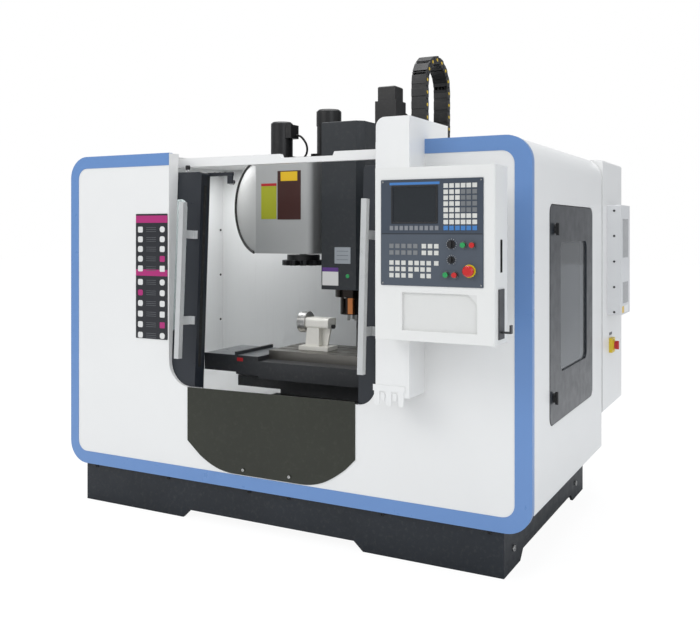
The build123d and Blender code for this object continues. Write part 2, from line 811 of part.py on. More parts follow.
save(operator_panel.part, "operator_panel")

with BuildPart() as screen_glass:
    with BuildSketch(panel_plane):
        with Locations((screen_x, screen_z)):
            RectangleRounded(screen_w, screen_h, 4)
    extrude(amount=1.5)
save(screen_glass.part, "screen_glass")

# Keys, grouped by colour
grid_x = (942.0, 964.0, 986.0, 1007.0, 1028.0, 1050.0)
grid_z = (1489.0, 1467.0, 1446.0, 1425.0, 1403.0, 1382.0, 1360.0, 1339.0)
row_x = (730.0, 754.0, 778.0, 806.0, 830.0, 853.0, 877.0, 906.0)
row_z = (1213.0, 1190.0, 1167.0)
jog_x = (730.0, 754.0, 778.0, 802.0, 825.0)
mode_x = (858.0, 882.0, 906.0)
jog_z = (1274.0, 1250.0)
white_keys = [(x, grid_z[0]) for x in grid_x]
white_keys += [(x, z) for x in grid_x[:3] for z in grid_z[1:7]]
white_keys += [(x, z) for x in grid_x[3:] for z in grid_z[5:7]]
white_keys += [(x, z) for x in mode_x for z in jog_z]
white_keys += [(x, z) for x in row_x for z in row_z[:1]]
white_keys += [(x, row_z[1]) for x in row_x[:-1]]
white_keys += [(x, row_z[2]) for x in row_x[:4] + row_x[5:7]]
grey_keys = [(x, z) for x in grid_x[3:] for z in grid_z[1:5]]
grey_keys += [(x, z) for x in jog_x for z in jog_z]
blue_keys = [(x, grid_z[7]) for x in grid_x]
soft_keys = [(730.0 + 19.7 * i, 1339.0) for i in range(10)]


def key_field(sites, width):
    with BuildPart() as keys:
        with BuildSketch(panel_face):
            with Locations(*sites):
                Rectangle(width, 16)
        extrude(amount=1.2)
    return keys.part


with BuildPart() as keypad:
    add(key_field(white_keys + grey_keys + blue_keys, 17))
    add(key_field(soft_keys, 14))
save(keypad.part, "keypad")

# Push buttons: a cap standing proud of its collar, on a square plunger that slides in the panel
press_names = ("start_button", "stop_button", "power_on_button", "power_off_button")
for name, (x, z) in zip(press_names, button_sites):
    with BuildPart() as button:
        with BuildSketch(panel_face.offset(4 + 5.3)):
            with Locations((x, z)):
                Circle(9.5)
        extrude(amount=5)
        with BuildSketch(panel_face.offset(4 + 5.3)):
            with Locations((x, z)):
                Rectangle(plunger_w, plunger_w)
        extrude(amount=-14)
    save(button.part, name)

# Emergency stop: a mushroom head on its stem
estop_plane = panel_face.offset(12)
with BuildPart() as estop_button:
    with BuildSketch(estop_plane):
        with Locations((estop_x, estop_z)):
            Circle(20)
    extrude(amount=14)
    chamfer(estop_button.edges().group_by(Axis.Y)[0], length=5)
    with BuildSketch(estop_plane):
        with Locations((estop_x, estop_z)):
            Rectangle(plunger_w, plunger_w)
    extrude(amount=-18)
save(estop_button.part, "estop_button")

# Rotary selectors: a skirted knob with a raised pointer
for name, (x, z, knob_r) in zip(("feed_selector", "jog_selector"), knob_sites):
    with BuildPart() as knob:
        with BuildSketch(panel_face.offset(0.3)):
            with Locations((x, z)):
                Circle(knob_r)
        extrude(amount=6)
        with BuildSketch(panel_face.offset(6.3)):
            with Locations((x, z)):
                SlotOverall(2 * knob_r - 3, 9, rotation=90)
        extrude(amount=10)
        with BuildSketch(panel_face.offset(0.3)):
            with Locations((x, z)):
                Circle(button_shaft_r)
        extrude(amount=-9)
    save(knob.part, name)

# Right-hand access door: a framed leaf with a window, hinged at its rear edge
access_t = 18.0
access_window = (-260.0, 215.0, 743.0, 1282.0)
window_y = (access_window[0] + access_window[1]) / 2
window_z = (access_window[2] + access_window[3]) / 2
window_w = access_window[1] - access_window[0]
window_h = access_window[3] - access_window[2]
latch_sites = ((-356.0, 1336.0), (-372.0, 654.0))
latch_shaft_r = 8.0
access_plane = Plane.YZ.offset(half_width + 2)
with BuildPart() as access_door:
    with BuildSketch(access_plane):
        with Locations((access_y, access_z)):
            RectangleRounded(access_w, access_h, access_r)
    extrude(amount=-access_t)
    with BuildSketch(access_plane):
        with Locations((window_y, window_z)):
            RectangleRounded(window_w, window_h, 34)
    extrude(amount=-access_t, mode=Mode.SUBTRACT)
    with BuildSketch(access_plane.offset(-8)):
        with Locations((window_y, window_z)):
            RectangleRounded(window_w + 40, window_h + 40, 44)
    extrude(amount=-access_t, mode=Mode.SUBTRACT)
    with BuildSketch(access_plane.offset(1)):
        with Locations(*latch_sites):
            Circle(latch_shaft_r + running_fit)
    extrude(amount=-access_t - 2, mode=Mode.SUBTRACT)
save(access_door.part, "access_door")

with BuildPart() as access_window_pane:
    with BuildSketch(access_plane.offset(-8)):
        with Locations((window_y, window_z)):
            RectangleRounded(window_w + 40, window_h + 40, 44)
    extrude(amount=-5)
save(access_window_pane.part, "access_window_pane")

# Quarter-turn latches: a round rosette with a wing grip and a stem through the leaf
for name, (y, z) in zip(("upper_latch", "lower_latch"), latch_sites):
    with BuildPart() as latch:
        with BuildSketch(access_plane.offset(0.3)):
            with Locations((y, z)):
                Circle(19)
        extrude(amount=6)
        with BuildSketch(access_plane.offset(6.3)):
            with Locations((y, z)):
                SlotOverall(52, 15, rotation=90)
        extrude(amount=12)
        with BuildSketch(access_plane.offset(0.3)):
            with Locations((y, z)):
                Circle(latch_shaft_r)
        extrude(amount=-access_t + 2)
    save(latch.part, name)

# Electrical cabinet: a sheet body open at the back, tied to the shell by two rails
cabinet_w = half_width + 2 - cabinet_left_x
cabinet_mid_x = (half_width + 2 + cabinet_left_x) / 2
cabinet_mid_z = (cabinet_bottom_z + cabinet_top_z) / 2
cabinet_h = cabinet_top_z - cabinet_bottom_z
with BuildPart() as electrical_cabinet:
    with BuildSketch(Plane.XZ.offset(-cabinet_front_y)):
        with Locations((cabinet_mid_x, cabinet_mid_z)):
            RectangleRounded(cabinet_w, cabinet_h, 12)
    extrude(amount=-(cabinet_rear_y - cabinet_front_y))
    with BuildSketch(Plane.XZ.offset(-cabinet_rear_y)):
        with Locations((cabinet_mid_x, cabinet_mid_z)):
            RectangleRounded(cabinet_w - 2 * sheet, cabinet_h - 2 * sheet, 9)
    extrude(amount=cabinet_rear_y - cabinet_front_y - sheet, mode=Mode.SUBTRACT)
    for z in (640, 1500):
        with Locations((cabinet_mid_x - 20, (side_rear_y + cabinet_front_y) / 2, z)):
            Box(cabinet_w - 120, cabinet_front_y - side_rear_y, 40)
    with BuildSketch(Plane.YZ.offset(half_width + 3)):
        with Locations((761, 737)):
            Circle(isolator_stem_r + running_fit)
    extrude(amount=-12, mode=Mode.SUBTRACT)
save(electrical_cabinet.part, "electrical_cabinet")

with BuildPart() as cabinet_door:
    with BuildSketch(Plane.XZ.offset(-cabinet_rear_y - 1)):
        with Locations((cabinet_mid_x, cabinet_mid_z)):
            RectangleRounded(cabinet_w - 2, cabinet_h - 2, 10)
    extrude(amount=-18)
    with BuildSketch(Plane.XZ.offset(-cabinet_rear_y - 1)):
        with Locations((cabinet_mid_x, cabinet_mid_z)):
            RectangleRounded(cabinet_w - 10, cabinet_h - 10, 6)
    extrude(amount=-15, mode=Mode.SUBTRACT)
save(cabinet_door.part, "cabinet_door")

# Heat exchanger on the cabinet's side: a cased unit with a slotted grille
exchanger_x = 1240.0
exchanger_front_y = 672.0
exchanger_rear_y = 913.0
exchanger_low_z = 900.0
exchanger_high_z = 1459.0
with BuildPart() as heat_exchanger:
    exchanger_t = exchanger_x - half_width - 2
    with BuildSketch(Plane.YZ.offset(half_width + 2)):
        with Locations(
            ((exchanger_front_y + exchanger_rear_y) / 2, (exchanger_low_z + exchanger_high_z) / 2)
        ):
            RectangleRounded(exchanger_rear_y - exchanger_front_y, exchanger_high_z - exchanger_low_z, 5)
    extrude(amount=exchanger_t)
    with BuildSketch(Plane.YZ.offset(exchanger_x)):
        with Locations((792, 1290)):
            with GridLocations(22, 1, 7, 1):
                Rectangle(11, 200)
    extrude(amount=-12, mode=Mode.SUBTRACT)
    with BuildSketch(Plane.YZ.offset(exchanger_x)):
        with Locations((792, 1010)):
            with GridLocations(22, 1, 7, 1):
                Rectangle(11, 110)
    extrude(amount=-12, mode=Mode.SUBTRACT)
save(heat_exchanger.part, "heat_exchanger")

# Main switch: a square base plate and a turning grip
isolator_y = 761.0
isolator_z = 737.0
with BuildPart() as isolator_base:
    with BuildSketch(Plane.YZ.offset(half_width + 2)):
        with Locations((isolator_y, isolator_z)):
            RectangleRounded(75, 75, 5)
            Circle(isolator_stem_r + running_fit, mode=Mode.SUBTRACT)
    extrude(amount=16)
    with BuildSketch(Plane.YZ.offset(half_width + 18)):
        with Locations((isolator_y, isolator_z)):
            Circle(28)
            Circle(isolator_stem_r + running_fit, mode=Mode.SUBTRACT)
    extrude(amount=6)
save(isolator_base.part, "isolator_base")

with BuildPart() as isolator_knob:
    with BuildSketch(Plane.YZ.offset(half_width + 24.3)):
        with Locations((isolator_y, isolator_z)):
            Circle(21)
    extrude(amount=7)
    with BuildSketch(Plane.YZ.offset(half_width + 31.3)):
        with Locations((isolator_y, isolator_z)):
            SlotOverall(44, 14, rotation=90)
    extrude(amount=14)
    with BuildSketch(Plane.YZ.offset(half_width + 24.3)):
        with Locations((isolator_y, isolator_z)):
            Circle(isolator_stem_r)
    extrude(amount=-26)
save(isolator_knob.part, "isolator_knob")

# Spindle head: a ribbed casting carried by four guide carriages, under a sheet cover
head_left_x = centre_x - head_half_x
head_right_x = centre_x + head_half_x
head_cast_top_z = 1250.0
head_back_y = 392.0
head_chamfer = 33.0
with BuildSketch() as head_outline:
    with BuildLine():
        Polyline(
            (head_left_x, head_front_y), (head_right_x - head_chamfer, head_front_y),
            (head_right_x, head_front_y + head_chamfer), (head_right_x, 300), (head_left_x, 300),
            (head_left_x, head_front_y)
        )
    make_face()
with BuildPart() as head_casting:
    with BuildSketch(Plane.XY.offset(head_bottom_z)):
        add(head_outline.sketch)
    extrude(amount=head_cast_top_z - head_bottom_z)
    with Locations((centre_x, (300 + head_back_y) / 2, (head_bottom_z + 1350) / 2)):
        Box(2 * head_half_x - 14, head_back_y - 300, 1350 - head_bottom_z)
    with BuildSketch(Plane.XY.offset(head_bottom_z)):
        with Locations((centre_x, spindle_y)):
            Circle(72)
    extrude(amount=40, mode=Mode.SUBTRACT)

with BuildPart() as head_carriages:
    for side in (-1, 1):
        for z in (1110, 1280):
            x = centre_x + side * z_gauge / 2
            with BuildSketch(Plane.XY.offset(z - 50)):
                with Locations((x, (head_back_y + column_front_y - 6) / 2)):
                    Rectangle(58, column_front_y - 6 - head_back_y)
                with Locations((x, column_front_y - rail_h / 2)):
                    Rectangle(rail_w + 1.4, rail_h + 1.4, mode=Mode.SUBTRACT)
            extrude(amount=100)
save_group((head_casting, head_carriages), "head_casting")

with BuildPart() as head_cover:
    with BuildSketch(Plane.XY.offset(head_cast_top_z)):
        add(head_outline.sketch)
    extrude(amount=head_box_top_z - head_cast_top_z)
    fillet(head_cover.edges().group_by(Axis.Z)[-1], radius=5)
    with BuildSketch(Plane.XY.offset(head_cast_top_z)):
        offset(head_outline.sketch, amount=-sheet)
    extrude(amount=head_box_top_z - head_cast_top_z - sheet, mode=Mode.SUBTRACT)
save(head_cover.part, "head_cover")

# Spindle: flanged cartridge, and the turning shaft with its taper socket and drive keys
flange_z = 1001.0
cartridge_z = 914.0
shaft_r = 24.95
with BuildPart() as spindle_cartridge:
    with BuildSketch(Plane.XY.offset(flange_z)):
        with Locations((centre_x, spindle_y)):
            Circle(flange_r)
    extrude(amount=head_bottom_z - flange_z)
    with BuildSketch(Plane.XY.offset(cartridge_z)):
        with Locations((centre_x, spindle_y)):
            Circle(cartridge_r)
    extrude(amount=flange_z - cartridge_z)
    with BuildSketch(Plane.XY.offset(head_bottom_z)):
        with Locations((centre_x, spindle_y)):
            Circle(71.5)
    extrude(amount=40)
    with BuildSketch(Plane.XY.offset(cartridge_z)):
        with Locations((centre_x, spindle_y)):
            Circle(shaft_r + running_fit)
    extrude(amount=140, mode=Mode.SUBTRACT)
save(spindle_cartridge.part, "spindle_cartridge")

with BuildPart() as spindle_shaft:
    with BuildSketch(Plane.XY.offset(nose_z)):
        with Locations((centre_x, spindle_y)):
            Circle(shaft_r)
    extrude(amount=160)
    with BuildSketch(Plane.XY.offset(nose_z)) as taper:
        with Locations((centre_x, spindle_y)):
            Circle(taper_r)
    taper_depth = 48.0
    extrude(amount=taper_depth, taper=8.297, mode=Mode.SUBTRACT)
    with BuildSketch(Plane.XY.offset(nose_z + taper_depth - 1)):
        with Locations((centre_x, spindle_y)):
            Circle(6.5)
    extrude(amount=60, mode=Mode.SUBTRACT)
    for side in (-1, 1):
        with Locations((centre_x + side * 20.5, spindle_y, nose_z - 4)):
            Box(8, 15.9, 8)
save(spindle_shaft.part, "spindle_shaft")

# Vertical-axis servo on an arm over the ball screw
servo_y = 428.0
servo_w = 136.0
with BuildPart() as servo_mount:
    with Locations((centre_x, (servo_y - 70 + 600) / 2, column_top_z + 12)):
        Box(170, 600 - servo_y + 70, 24)
    for side in (-1, 1):
        with Locations((centre_x + side * 80, 530, column_top_z + 54)):
            Box(10, 140, 60)

servo_low_z = column_top_z + 24
with BuildPart() as z_servo:
    with BuildSketch(Plane.XY.offset(servo_low_z)):
        with Locations((centre_x, servo_y)):
            Rectangle(servo_w, servo_w)
    extrude(amount=26)
    with BuildSketch(Plane.XY.offset(servo_low_z + 26)):
        with Locations((centre_x, servo_y)):
            Rectangle(servo_w - 10, servo_w - 10)
    extrude(amount=2029 - servo_low_z - 26)
    with BuildSketch(Plane.XY.offset(2029)):
        with Locations((centre_x, servo_y)):
            Rectangle(103, 103)
    extrude(amount=80)
    chamfer(z_servo.edges().group_by(Axis.Z)[-1], length=5)
    with Locations((centre_x + 20, servo_y + servo_w / 2 + 8, 1990)):
        Box(44, 28, 60)

# Cable chain: one folded band of links, cut at every pitch, standing on the column's top
chain_x = 240.0
chain_w = 84.0
chain_h = 42.0
chain_front_y = 429.0
chain_rear_y = 743.0
chain_foot_z = 1800.0
chain_bend_z = 2107.0
chain_r = (chain_rear_y - chain_front_y) / 2
chain_mid_y = (chain_rear_y + chain_front_y) / 2
chain_pitch = 67.0
leg_length = chain_bend_z - chain_foot_z
bend_length = pi * chain_r
link_count = int((2 * leg_length + bend_length) / chain_pitch)


bend_links = 8


def chain_frame(distance):
    """Position and heading (degrees about +X from +Y) at a distance along the chain's centre line."""
    if distance <= leg_length:
        return chain_front_y, chain_foot_z + distance, 90.0
    if distance <= leg_length + bend_length:
        turn = (distance - leg_length) / chain_r
        y = chain_mid_y - chain_r * cos(turn)
        z = chain_bend_z + chain_r * sin(turn)
        return y, z, 90.0 - turn * 180 / pi
    return chain_rear_y, chain_bend_z - (distance - leg_length - bend_length), -90.0


def chain_plane(distance):
    """Plane at a chain position: local X along the run, local Z across the machine."""
    y, z, heading = chain_frame(distance)
    along = (0, cos(radians(heading)), sin(radians(heading)))
    return Plane(origin=(chain_x, y, z), x_dir=along, z_dir=(1, 0, 0))


def chain_side(offset):
    """Corner points of the chain's run, offset outwards from its centre line, link by link."""
    points = [(chain_front_y - offset, chain_foot_z)]
    for i in range(bend_links + 1):
        turn = pi * i / bend_links
        reach = (chain_r + offset) / (cos(pi / (2 * bend_links)) if 0 < i < bend_links else 1)
        points.append((chain_mid_y - reach * cos(turn), chain_bend_z + reach * sin(turn)))
    points.append((chain_rear_y + offset, chain_foot_z))
    return points


def chain_band(height, width):
    outer = chain_side(height / 2)
    inner = chain_side(-height / 2)
    with BuildPart() as band:
        with BuildSketch(Plane.YZ.offset(chain_x - width / 2)):
            with BuildLine():
                Polyline(*outer, *reversed(inner), outer[0])
            make_face()
        extrude(amount=width)
    return band.part


link_gaps = [chain_pitch * (i + 0.5) for i in range(link_count + 1)]
link_pins = [chain_pitch * (i + 1.0) for i in range(link_count)]
with BuildPart() as cable_chain:
    add(chain_band(chain_h, chain_w))
    add(chain_band(chain_h - 8, chain_w - 16), mode=Mode.SUBTRACT)
    for distance in link_gaps:
        with BuildSketch(chain_plane(distance)):
            with Locations((0, chain_h / 2)):
                Rectangle(26, 6)
            with Locations((0, -chain_h / 2)):
                Rectangle(18, 6)
        extrude(amount=chain_w / 2 + 1, both=True, mode=Mode.SUBTRACT)
        for side in (-1, 1):
            with BuildSketch(chain_plane(distance).offset(side * chain_w / 2)):
                Rectangle(5, chain_h - 8)
            extrude(amount=-side * 5, mode=Mode.SUBTRACT)

with BuildPart() as chain_pins:
    for distance in link_pins:
        for side in (-1, 1):
            with BuildSketch(chain_plane(distance).offset(side * chain_w / 2)):
                RegularPolygon(9, 8)
            extrude(amount=side * 2)

save_group((cable_chain, chain_pins), "cable_chain")

with BuildPart() as chain_foot:
    with Locations((chain_x, (chain_front_y + chain_rear_y) / 2, (column_top_z + chain_foot_z) / 2)):
        Box(chain_w, chain_rear_y - chain_front_y + chain_h, chain_foot_z - column_top_z)

# Saddle: a T-shaped casting on four carriages, with the cross rails on its back
saddle_w = 1000.0
saddle_rear_y = 60.0
saddle_low_z = 512.0
saddle_wing_z = 562.0
saddle_top_z = 612.0
saddle_mid_y = (saddle_front_y + saddle_rear_y) / 2
saddle_d = saddle_rear_y - saddle_front_y
with BuildPart() as saddle:
    with Locations((centre_x, saddle_mid_y, (saddle_low_z + saddle_wing_z) / 2)):
        Box(500, saddle_d, saddle_wing_z - saddle_low_z)
    with Locations((centre_x, saddle_mid_y, (saddle_wing_z + saddle_top_z) / 2)):
        Box(saddle_w, saddle_d, saddle_top_z - saddle_wing_z)
    fillet(saddle.edges().filter_by(Axis.Z), radius=12)

with BuildPart() as saddle_carriages:
    for side in (-1, 1):
        for y in (saddle_front_y + 70, saddle_rear_y - 70):
            x = centre_x + side * rail_gauge / 2
            with BuildSketch(Plane.XZ.offset(-y + 50)):
                with Locations((x, (saddle_low_z + bed_top_z + 7) / 2)):
                    Rectangle(72, saddle_low_z - bed_top_z - 7)
                with Locations((x, bed_top_z + rail_h / 2)):
                    Rectangle(rail_w + 1.4, rail_h + 1.4, mode=Mode.SUBTRACT)
            extrude(amount=-100)

x_gauge = 200.0
table_mid_y = table_front_y + table_width / 2
with BuildPart() as x_rails:
    for side in (-1, 1):
        seat = Plane(
            origin=(centre_x - saddle_w / 2 + 5, table_mid_y + side * x_gauge / 2, saddle_top_z),
            x_dir=(0, 1, 0),
            z_dir=(1, 0, 0)
        )
        with BuildSketch(seat):
            add(rail_profile(rail_w, rail_h))
        extrude(amount=saddle_w - 10)


# Telescopic way cover ahead of the saddle: nested hoods, the innermost fixed to the bed
def way_hood(stage, rear_y):
    half = cover_half_w + 3 * stage
    top = 528 + 5 * stage
    low = bed_deck_z + (0 if stage == 0 else 6)
    with BuildPart() as hood:
        with BuildSketch(Plane.XZ.offset(-(rear_y - cover_len))):
            with Locations((centre_x, (top + low) / 2)):
                Rectangle(2 * half, top - low)
            with Locations((centre_x, (top + low) / 2 - 2)):
                Rectangle(2 * half - 4, top - low, mode=Mode.SUBTRACT)
        extrude(amount=-cover_len)
    return hood.part


table_back_stroke = 325.0
table_front_stroke = 75.0
hood_front_y = saddle_front_y - table_front_stroke - cover_len
hoods = []
for stage in range(cover_stages + 1):
    nested = cover_stages - stage
    rear = hood_front_y + cover_len + table_front_stroke * stage / cover_stages - nested
    hoods.append(way_hood(stage, rear))
save(hoods[0], "way_hood_fixed")
save(hoods[1], "way_hood_1")
save(hoods[2], "way_hood_2")
with BuildPart() as saddle_group:
    add(saddle.part)
    add(saddle_carriages.part)
    add(x_rails.part)
    add(hoods[3])
save(saddle_group.part, "saddle")

# Work table: T-slotted slab over a narrower rib, on four carriages
slab_t = 43.0
table_mid_x = table_left_x + table_length / 2
with BuildPart() as work_table:
    with Locations((table_mid_x, table_mid_y, table_top_z - slab_t / 2)):
        Box(table_length, table_width, slab_t)
    with Locations((table_mid_x, table_mid_y, (table_top_z - slab_t + 662) / 2)):
        Box(table_length - 160, table_width - 50, table_top_z - slab_t - 662)
    slot_plane = Plane.YZ.offset(table_left_x - 1)
    for i in (-1, 0, 1):
        y = table_mid_y + i * slot_pitch
        with BuildSketch(slot_plane):
            with Locations((y, table_top_z)):
                Rectangle(slot_w, 2 * 14)
            with Locations((y, table_top_z - 18)):
                Rectangle(24, 9)
        extrude(amount=table_length + 2, mode=Mode.SUBTRACT)

with BuildPart() as table_carriages:
    for side in (-1, 1):
        for x in (table_mid_x - 130, table_mid_x + 130):
            y = table_mid_y + side * x_gauge / 2
            with BuildSketch(Plane.YZ.offset(x - 50)):
                with Locations((y, (662 + saddle_top_z + 7) / 2)):
                    Rectangle(72, 662 - saddle_top_z - 7)
                with Locations((y, saddle_top_z + rail_h / 2)):
                    Rectangle(rail_w + 1.4, rail_h + 1.4, mode=Mode.SUBTRACT)
            extrude(amount=100)
save_group((work_table, table_carriages), "work_table")

# Table guards: a sheet apron round the table's front, with stepped wings at both ends
guard_rear_y = guard_front_y + guard_depth
guard_end = 317.0
guard_left_x = table_left_x - guard_end
guard_right_x = table_left_x + table_length + guard_end
table_right_x = table_left_x + table_length
guard_mid_y = (guard_front_y + guard_rear_y) / 2
strip_depth = table_front_y - guard_front_y
with BuildPart() as table_guards:
    with BuildSketch(Plane.XY.offset(guard_top_z - sheet)):
        with Locations(((guard_left_x + guard_right_x) / 2, guard_mid_y)):
            Rectangle(guard_right_x - guard_left_x, guard_depth)
            Rectangle(table_length, guard_depth, mode=Mode.SUBTRACT)
    extrude(amount=sheet)
    with Locations((table_mid_x, guard_front_y + strip_depth / 2, guard_strip_z - sheet / 2)):
        Box(table_length, strip_depth, sheet)
    for x in (table_left_x - sheet / 2, table_right_x + sheet / 2):
        with Locations((x, guard_front_y + strip_depth / 2, (guard_strip_z - sheet + guard_top_z) / 2)):
            Box(sheet, strip_depth, guard_top_z - guard_strip_z + sheet)
    with BuildSketch(Plane.XZ.offset(-guard_front_y)):
        with BuildLine():
            Polyline(
                (guard_left_x, guard_top_z), (guard_left_x, guard_wing_z),
                (table_left_x - wing_step, guard_wing_z), (table_left_x - wing_step, guard_wing_z - 10), (table_left_x, guard_wing_z - 10),
                (table_left_x, guard_bottom_z), (table_right_x, guard_bottom_z),
                (table_right_x, guard_wing_z - 10), (table_right_x + wing_step, guard_wing_z - 10),
                (table_right_x + wing_step, guard_wing_z), (guard_right_x, guard_wing_z),
                (guard_right_x, guard_top_z), (table_right_x, guard_top_z), (table_right_x, guard_strip_z),
                (table_left_x, guard_strip_z), (table_left_x, guard_top_z), (guard_left_x, guard_top_z)
            )
        make_face()
    extrude(amount=-sheet)
    for x in (guard_left_x + sheet / 2, guard_right_x - sheet / 2):
        with Locations((x, guard_mid_y, (guard_wing_z + guard_top_z) / 2)):
            Box(sheet, guard_depth, guard_top_z - guard_wing_z)
    for x in (table_left_x - wing_step, table_right_x + wing_step):
        with Locations((x, guard_mid_y, guard_top_z + 8)):
            Box(14, guard_depth, 16)
save(table_guards.part, "table_guards")

# Rotary unit: a barrel on a ribbed pedestal and a base plate over the T-slots
rotary_y = -175.0
rotary_z = 880.0
rotary_left_x = -90.0
rotary_right_x = 37.0
barrel_half = 25.0
plate_stem_r = 14.0
clamp_stem_r = 6.0
clamp_z = rotary_z - 16
with BuildPart() as rotary_unit:
    with Locations((-41, rotary_y, table_top_z + 10)):
        Box(162, 100, 20)
    with BuildSketch(Plane.XZ.offset(-rotary_y - 38)):
        with BuildLine():
            Polyline(
                (-92, table_top_z + 20), (-14, table_top_z + 20), (-14, rotary_z - barrel_half + 2),
                (-82, rotary_z - barrel_half + 2), (-92, table_top_z + 20)
            )
        make_face()
    extrude(amount=76)
    with BuildSketch(Plane.XZ.offset(-rotary_y - 6)):
        with BuildLine():
            Polyline(
                (-14, table_top_z + 20), (14, table_top_z + 20),
                (rotary_right_x - 4, rotary_z - barrel_half + 2),
                (-14, rotary_z - barrel_half + 2), (-14, table_top_z + 20)
            )
        make_face()
    extrude(amount=12)
    with BuildSketch(Plane.YZ.offset(rotary_left_x)):
        with Locations((rotary_y, rotary_z)):
            RectangleRounded(84, 2 * barrel_half, 14)
    extrude(amount=rotary_right_x - rotary_left_x)
    with BuildSketch(Plane.YZ.offset(rotary_left_x - 1)):
        with Locations((rotary_y, rotary_z)):
            Circle(plate_stem_r + running_fit)
    extrude(amount=40, mode=Mode.SUBTRACT)
    with BuildSketch(Plane.YZ.offset(rotary_right_x + 1)):
        with Locations((rotary_y, clamp_z)):
            Circle(clamp_stem_r + running_fit)
    extrude(amount=-30, mode=Mode.SUBTRACT)
save(rotary_unit.part, "rotary_unit")

with BuildPart() as rotary_faceplate:
    with BuildSketch(Plane.YZ.offset(rotary_left_x - 0.3)):
        with Locations((rotary_y, rotary_z)):
            Circle(52)
    extrude(amount=-43)
    with BuildSketch(Plane.YZ.offset(rotary_left_x - 43.3)):
        with Locations((rotary_y, rotary_z)):
            Circle(16)
            for turn in (0, 60, 120):
                Rectangle(96, 8, rotation=turn)
    extrude(amount=9, mode=Mode.SUBTRACT)
    with BuildSketch(Plane.YZ.offset(rotary_left_x - 0.3)):
        with Locations((rotary_y, rotary_z)):
            Circle(plate_stem_r)
    extrude(amount=34)
save(rotary_faceplate.part, "rotary_faceplate")

with BuildPart() as clamp_knob:
    with BuildSketch(Plane.YZ.offset(rotary_right_x + 0.3)):
        with Locations((rotary_y, clamp_z)):
            RegularPolygon(11, 6)
    extrude(amount=13)
    with BuildSketch(Plane.YZ.offset(rotary_right_x + 0.3)):
        with Locations((rotary_y, clamp_z)):
            Circle(clamp_stem_r)
    extrude(amount=-26)
save(clamp_knob.part, "clamp_knob")

# Tool magazine arm: a bracket off the column's side, with the slide rail on its nose
arm_top_z = 1715.0
arm_low_z = 1692.0
with BuildPart() as magazine_arm:
    with BuildSketch(Plane.XY.offset(arm_low_z)):
        with BuildLine():
            Polyline(
                (-430, 80), (-56, 80), (-56, 330), (-130, 405), (-130, 458), (column_left_x, 458),
                (column_left_x, 760),
                (column_left_x - 30, 760), (-430, 260), (-430, 80)
            )
        make_face()
    extrude(amount=arm_top_z - arm_low_z)
    with Locations((column_left_x - 15, (460 + 540) / 2, (1560 + arm_low_z) / 2)):
        Box(30, 80, arm_low_z - 1560)

with BuildPart() as magazine_rail:
    with Locations((-245, 71, 1700)):
        Box(370, 18, 20)
save_group((servo_mount, chain_foot, magazine_arm, magazine_rail), "column_brackets")

with BuildPart() as magazine_slide_motor:
    with BuildSketch(Plane.XY.offset(arm_top_z)):
        with Locations((-185, 190)):
            Rectangle(140, 140)
    extrude(amount=22)
    with BuildSketch(Plane.XY.offset(arm_top_z + 22)):
        with Locations((-185, 190)):
            Circle(64)
    extrude(amount=150)
    with BuildSketch(Plane.XY.offset(arm_top_z + 172)):
        with Locations((-185, 190)):
            Circle(67)
    extrude(amount=85)
    chamfer(magazine_slide_motor.edges().group_by(Axis.Z)[-1], length=10)
save_group((z_servo, magazine_slide_motor), "axis_motors")

# Magazine frame: top plate, hanging carriage and bearing tube for the carousel's shaft
with BuildPart() as magazine_frame:
    with BuildSketch(Plane.XY.offset(1666)) as frame_plate:
        with Locations(((-436 + cover_right_x - sheet) / 2, (cover_front_y + sheet + 50) / 2)):
            Rectangle(cover_right_x - sheet + 436, 50 - cover_front_y - sheet)
        fillet(frame_plate.vertices().group_by(Axis.Y)[0].sort_by(Axis.X)[-1], radius=27.2)
        with Locations((carousel_x, carousel_y)):
            Circle(carousel_stem_r + running_fit, mode=Mode.SUBTRACT)
    extrude(amount=14)
    with Locations((-245, 52, (1666 + 1716) / 2)):
        Box(120, 19.4, 50)
    with BuildSketch(Plane.XY.offset(1260)):
        with Locations((carousel_x, carousel_y)):
            Circle(34)
            Circle(carousel_stem_r + running_fit, mode=Mode.SUBTRACT)
    extrude(amount=1666 - 1260)
save(magazine_frame.part, "magazine_frame")

with BuildPart() as magazine_motor:
    with BuildSketch(Plane.XY.offset(1680)):
        with Locations((-347, -22)):
            Rectangle(128, 128)
    extrude(amount=34)
    with BuildSketch(Plane.XY.offset(1714)):
        with Locations((-347, -22)):
            Circle(57)
    extrude(amount=178)
    chamfer(magazine_motor.edges().group_by(Axis.Z)[-1], length=8)
    with Locations((-285, -22, 1840)):
        Box(34, 76, 70)
save(magazine_motor.part, "magazine_motor")

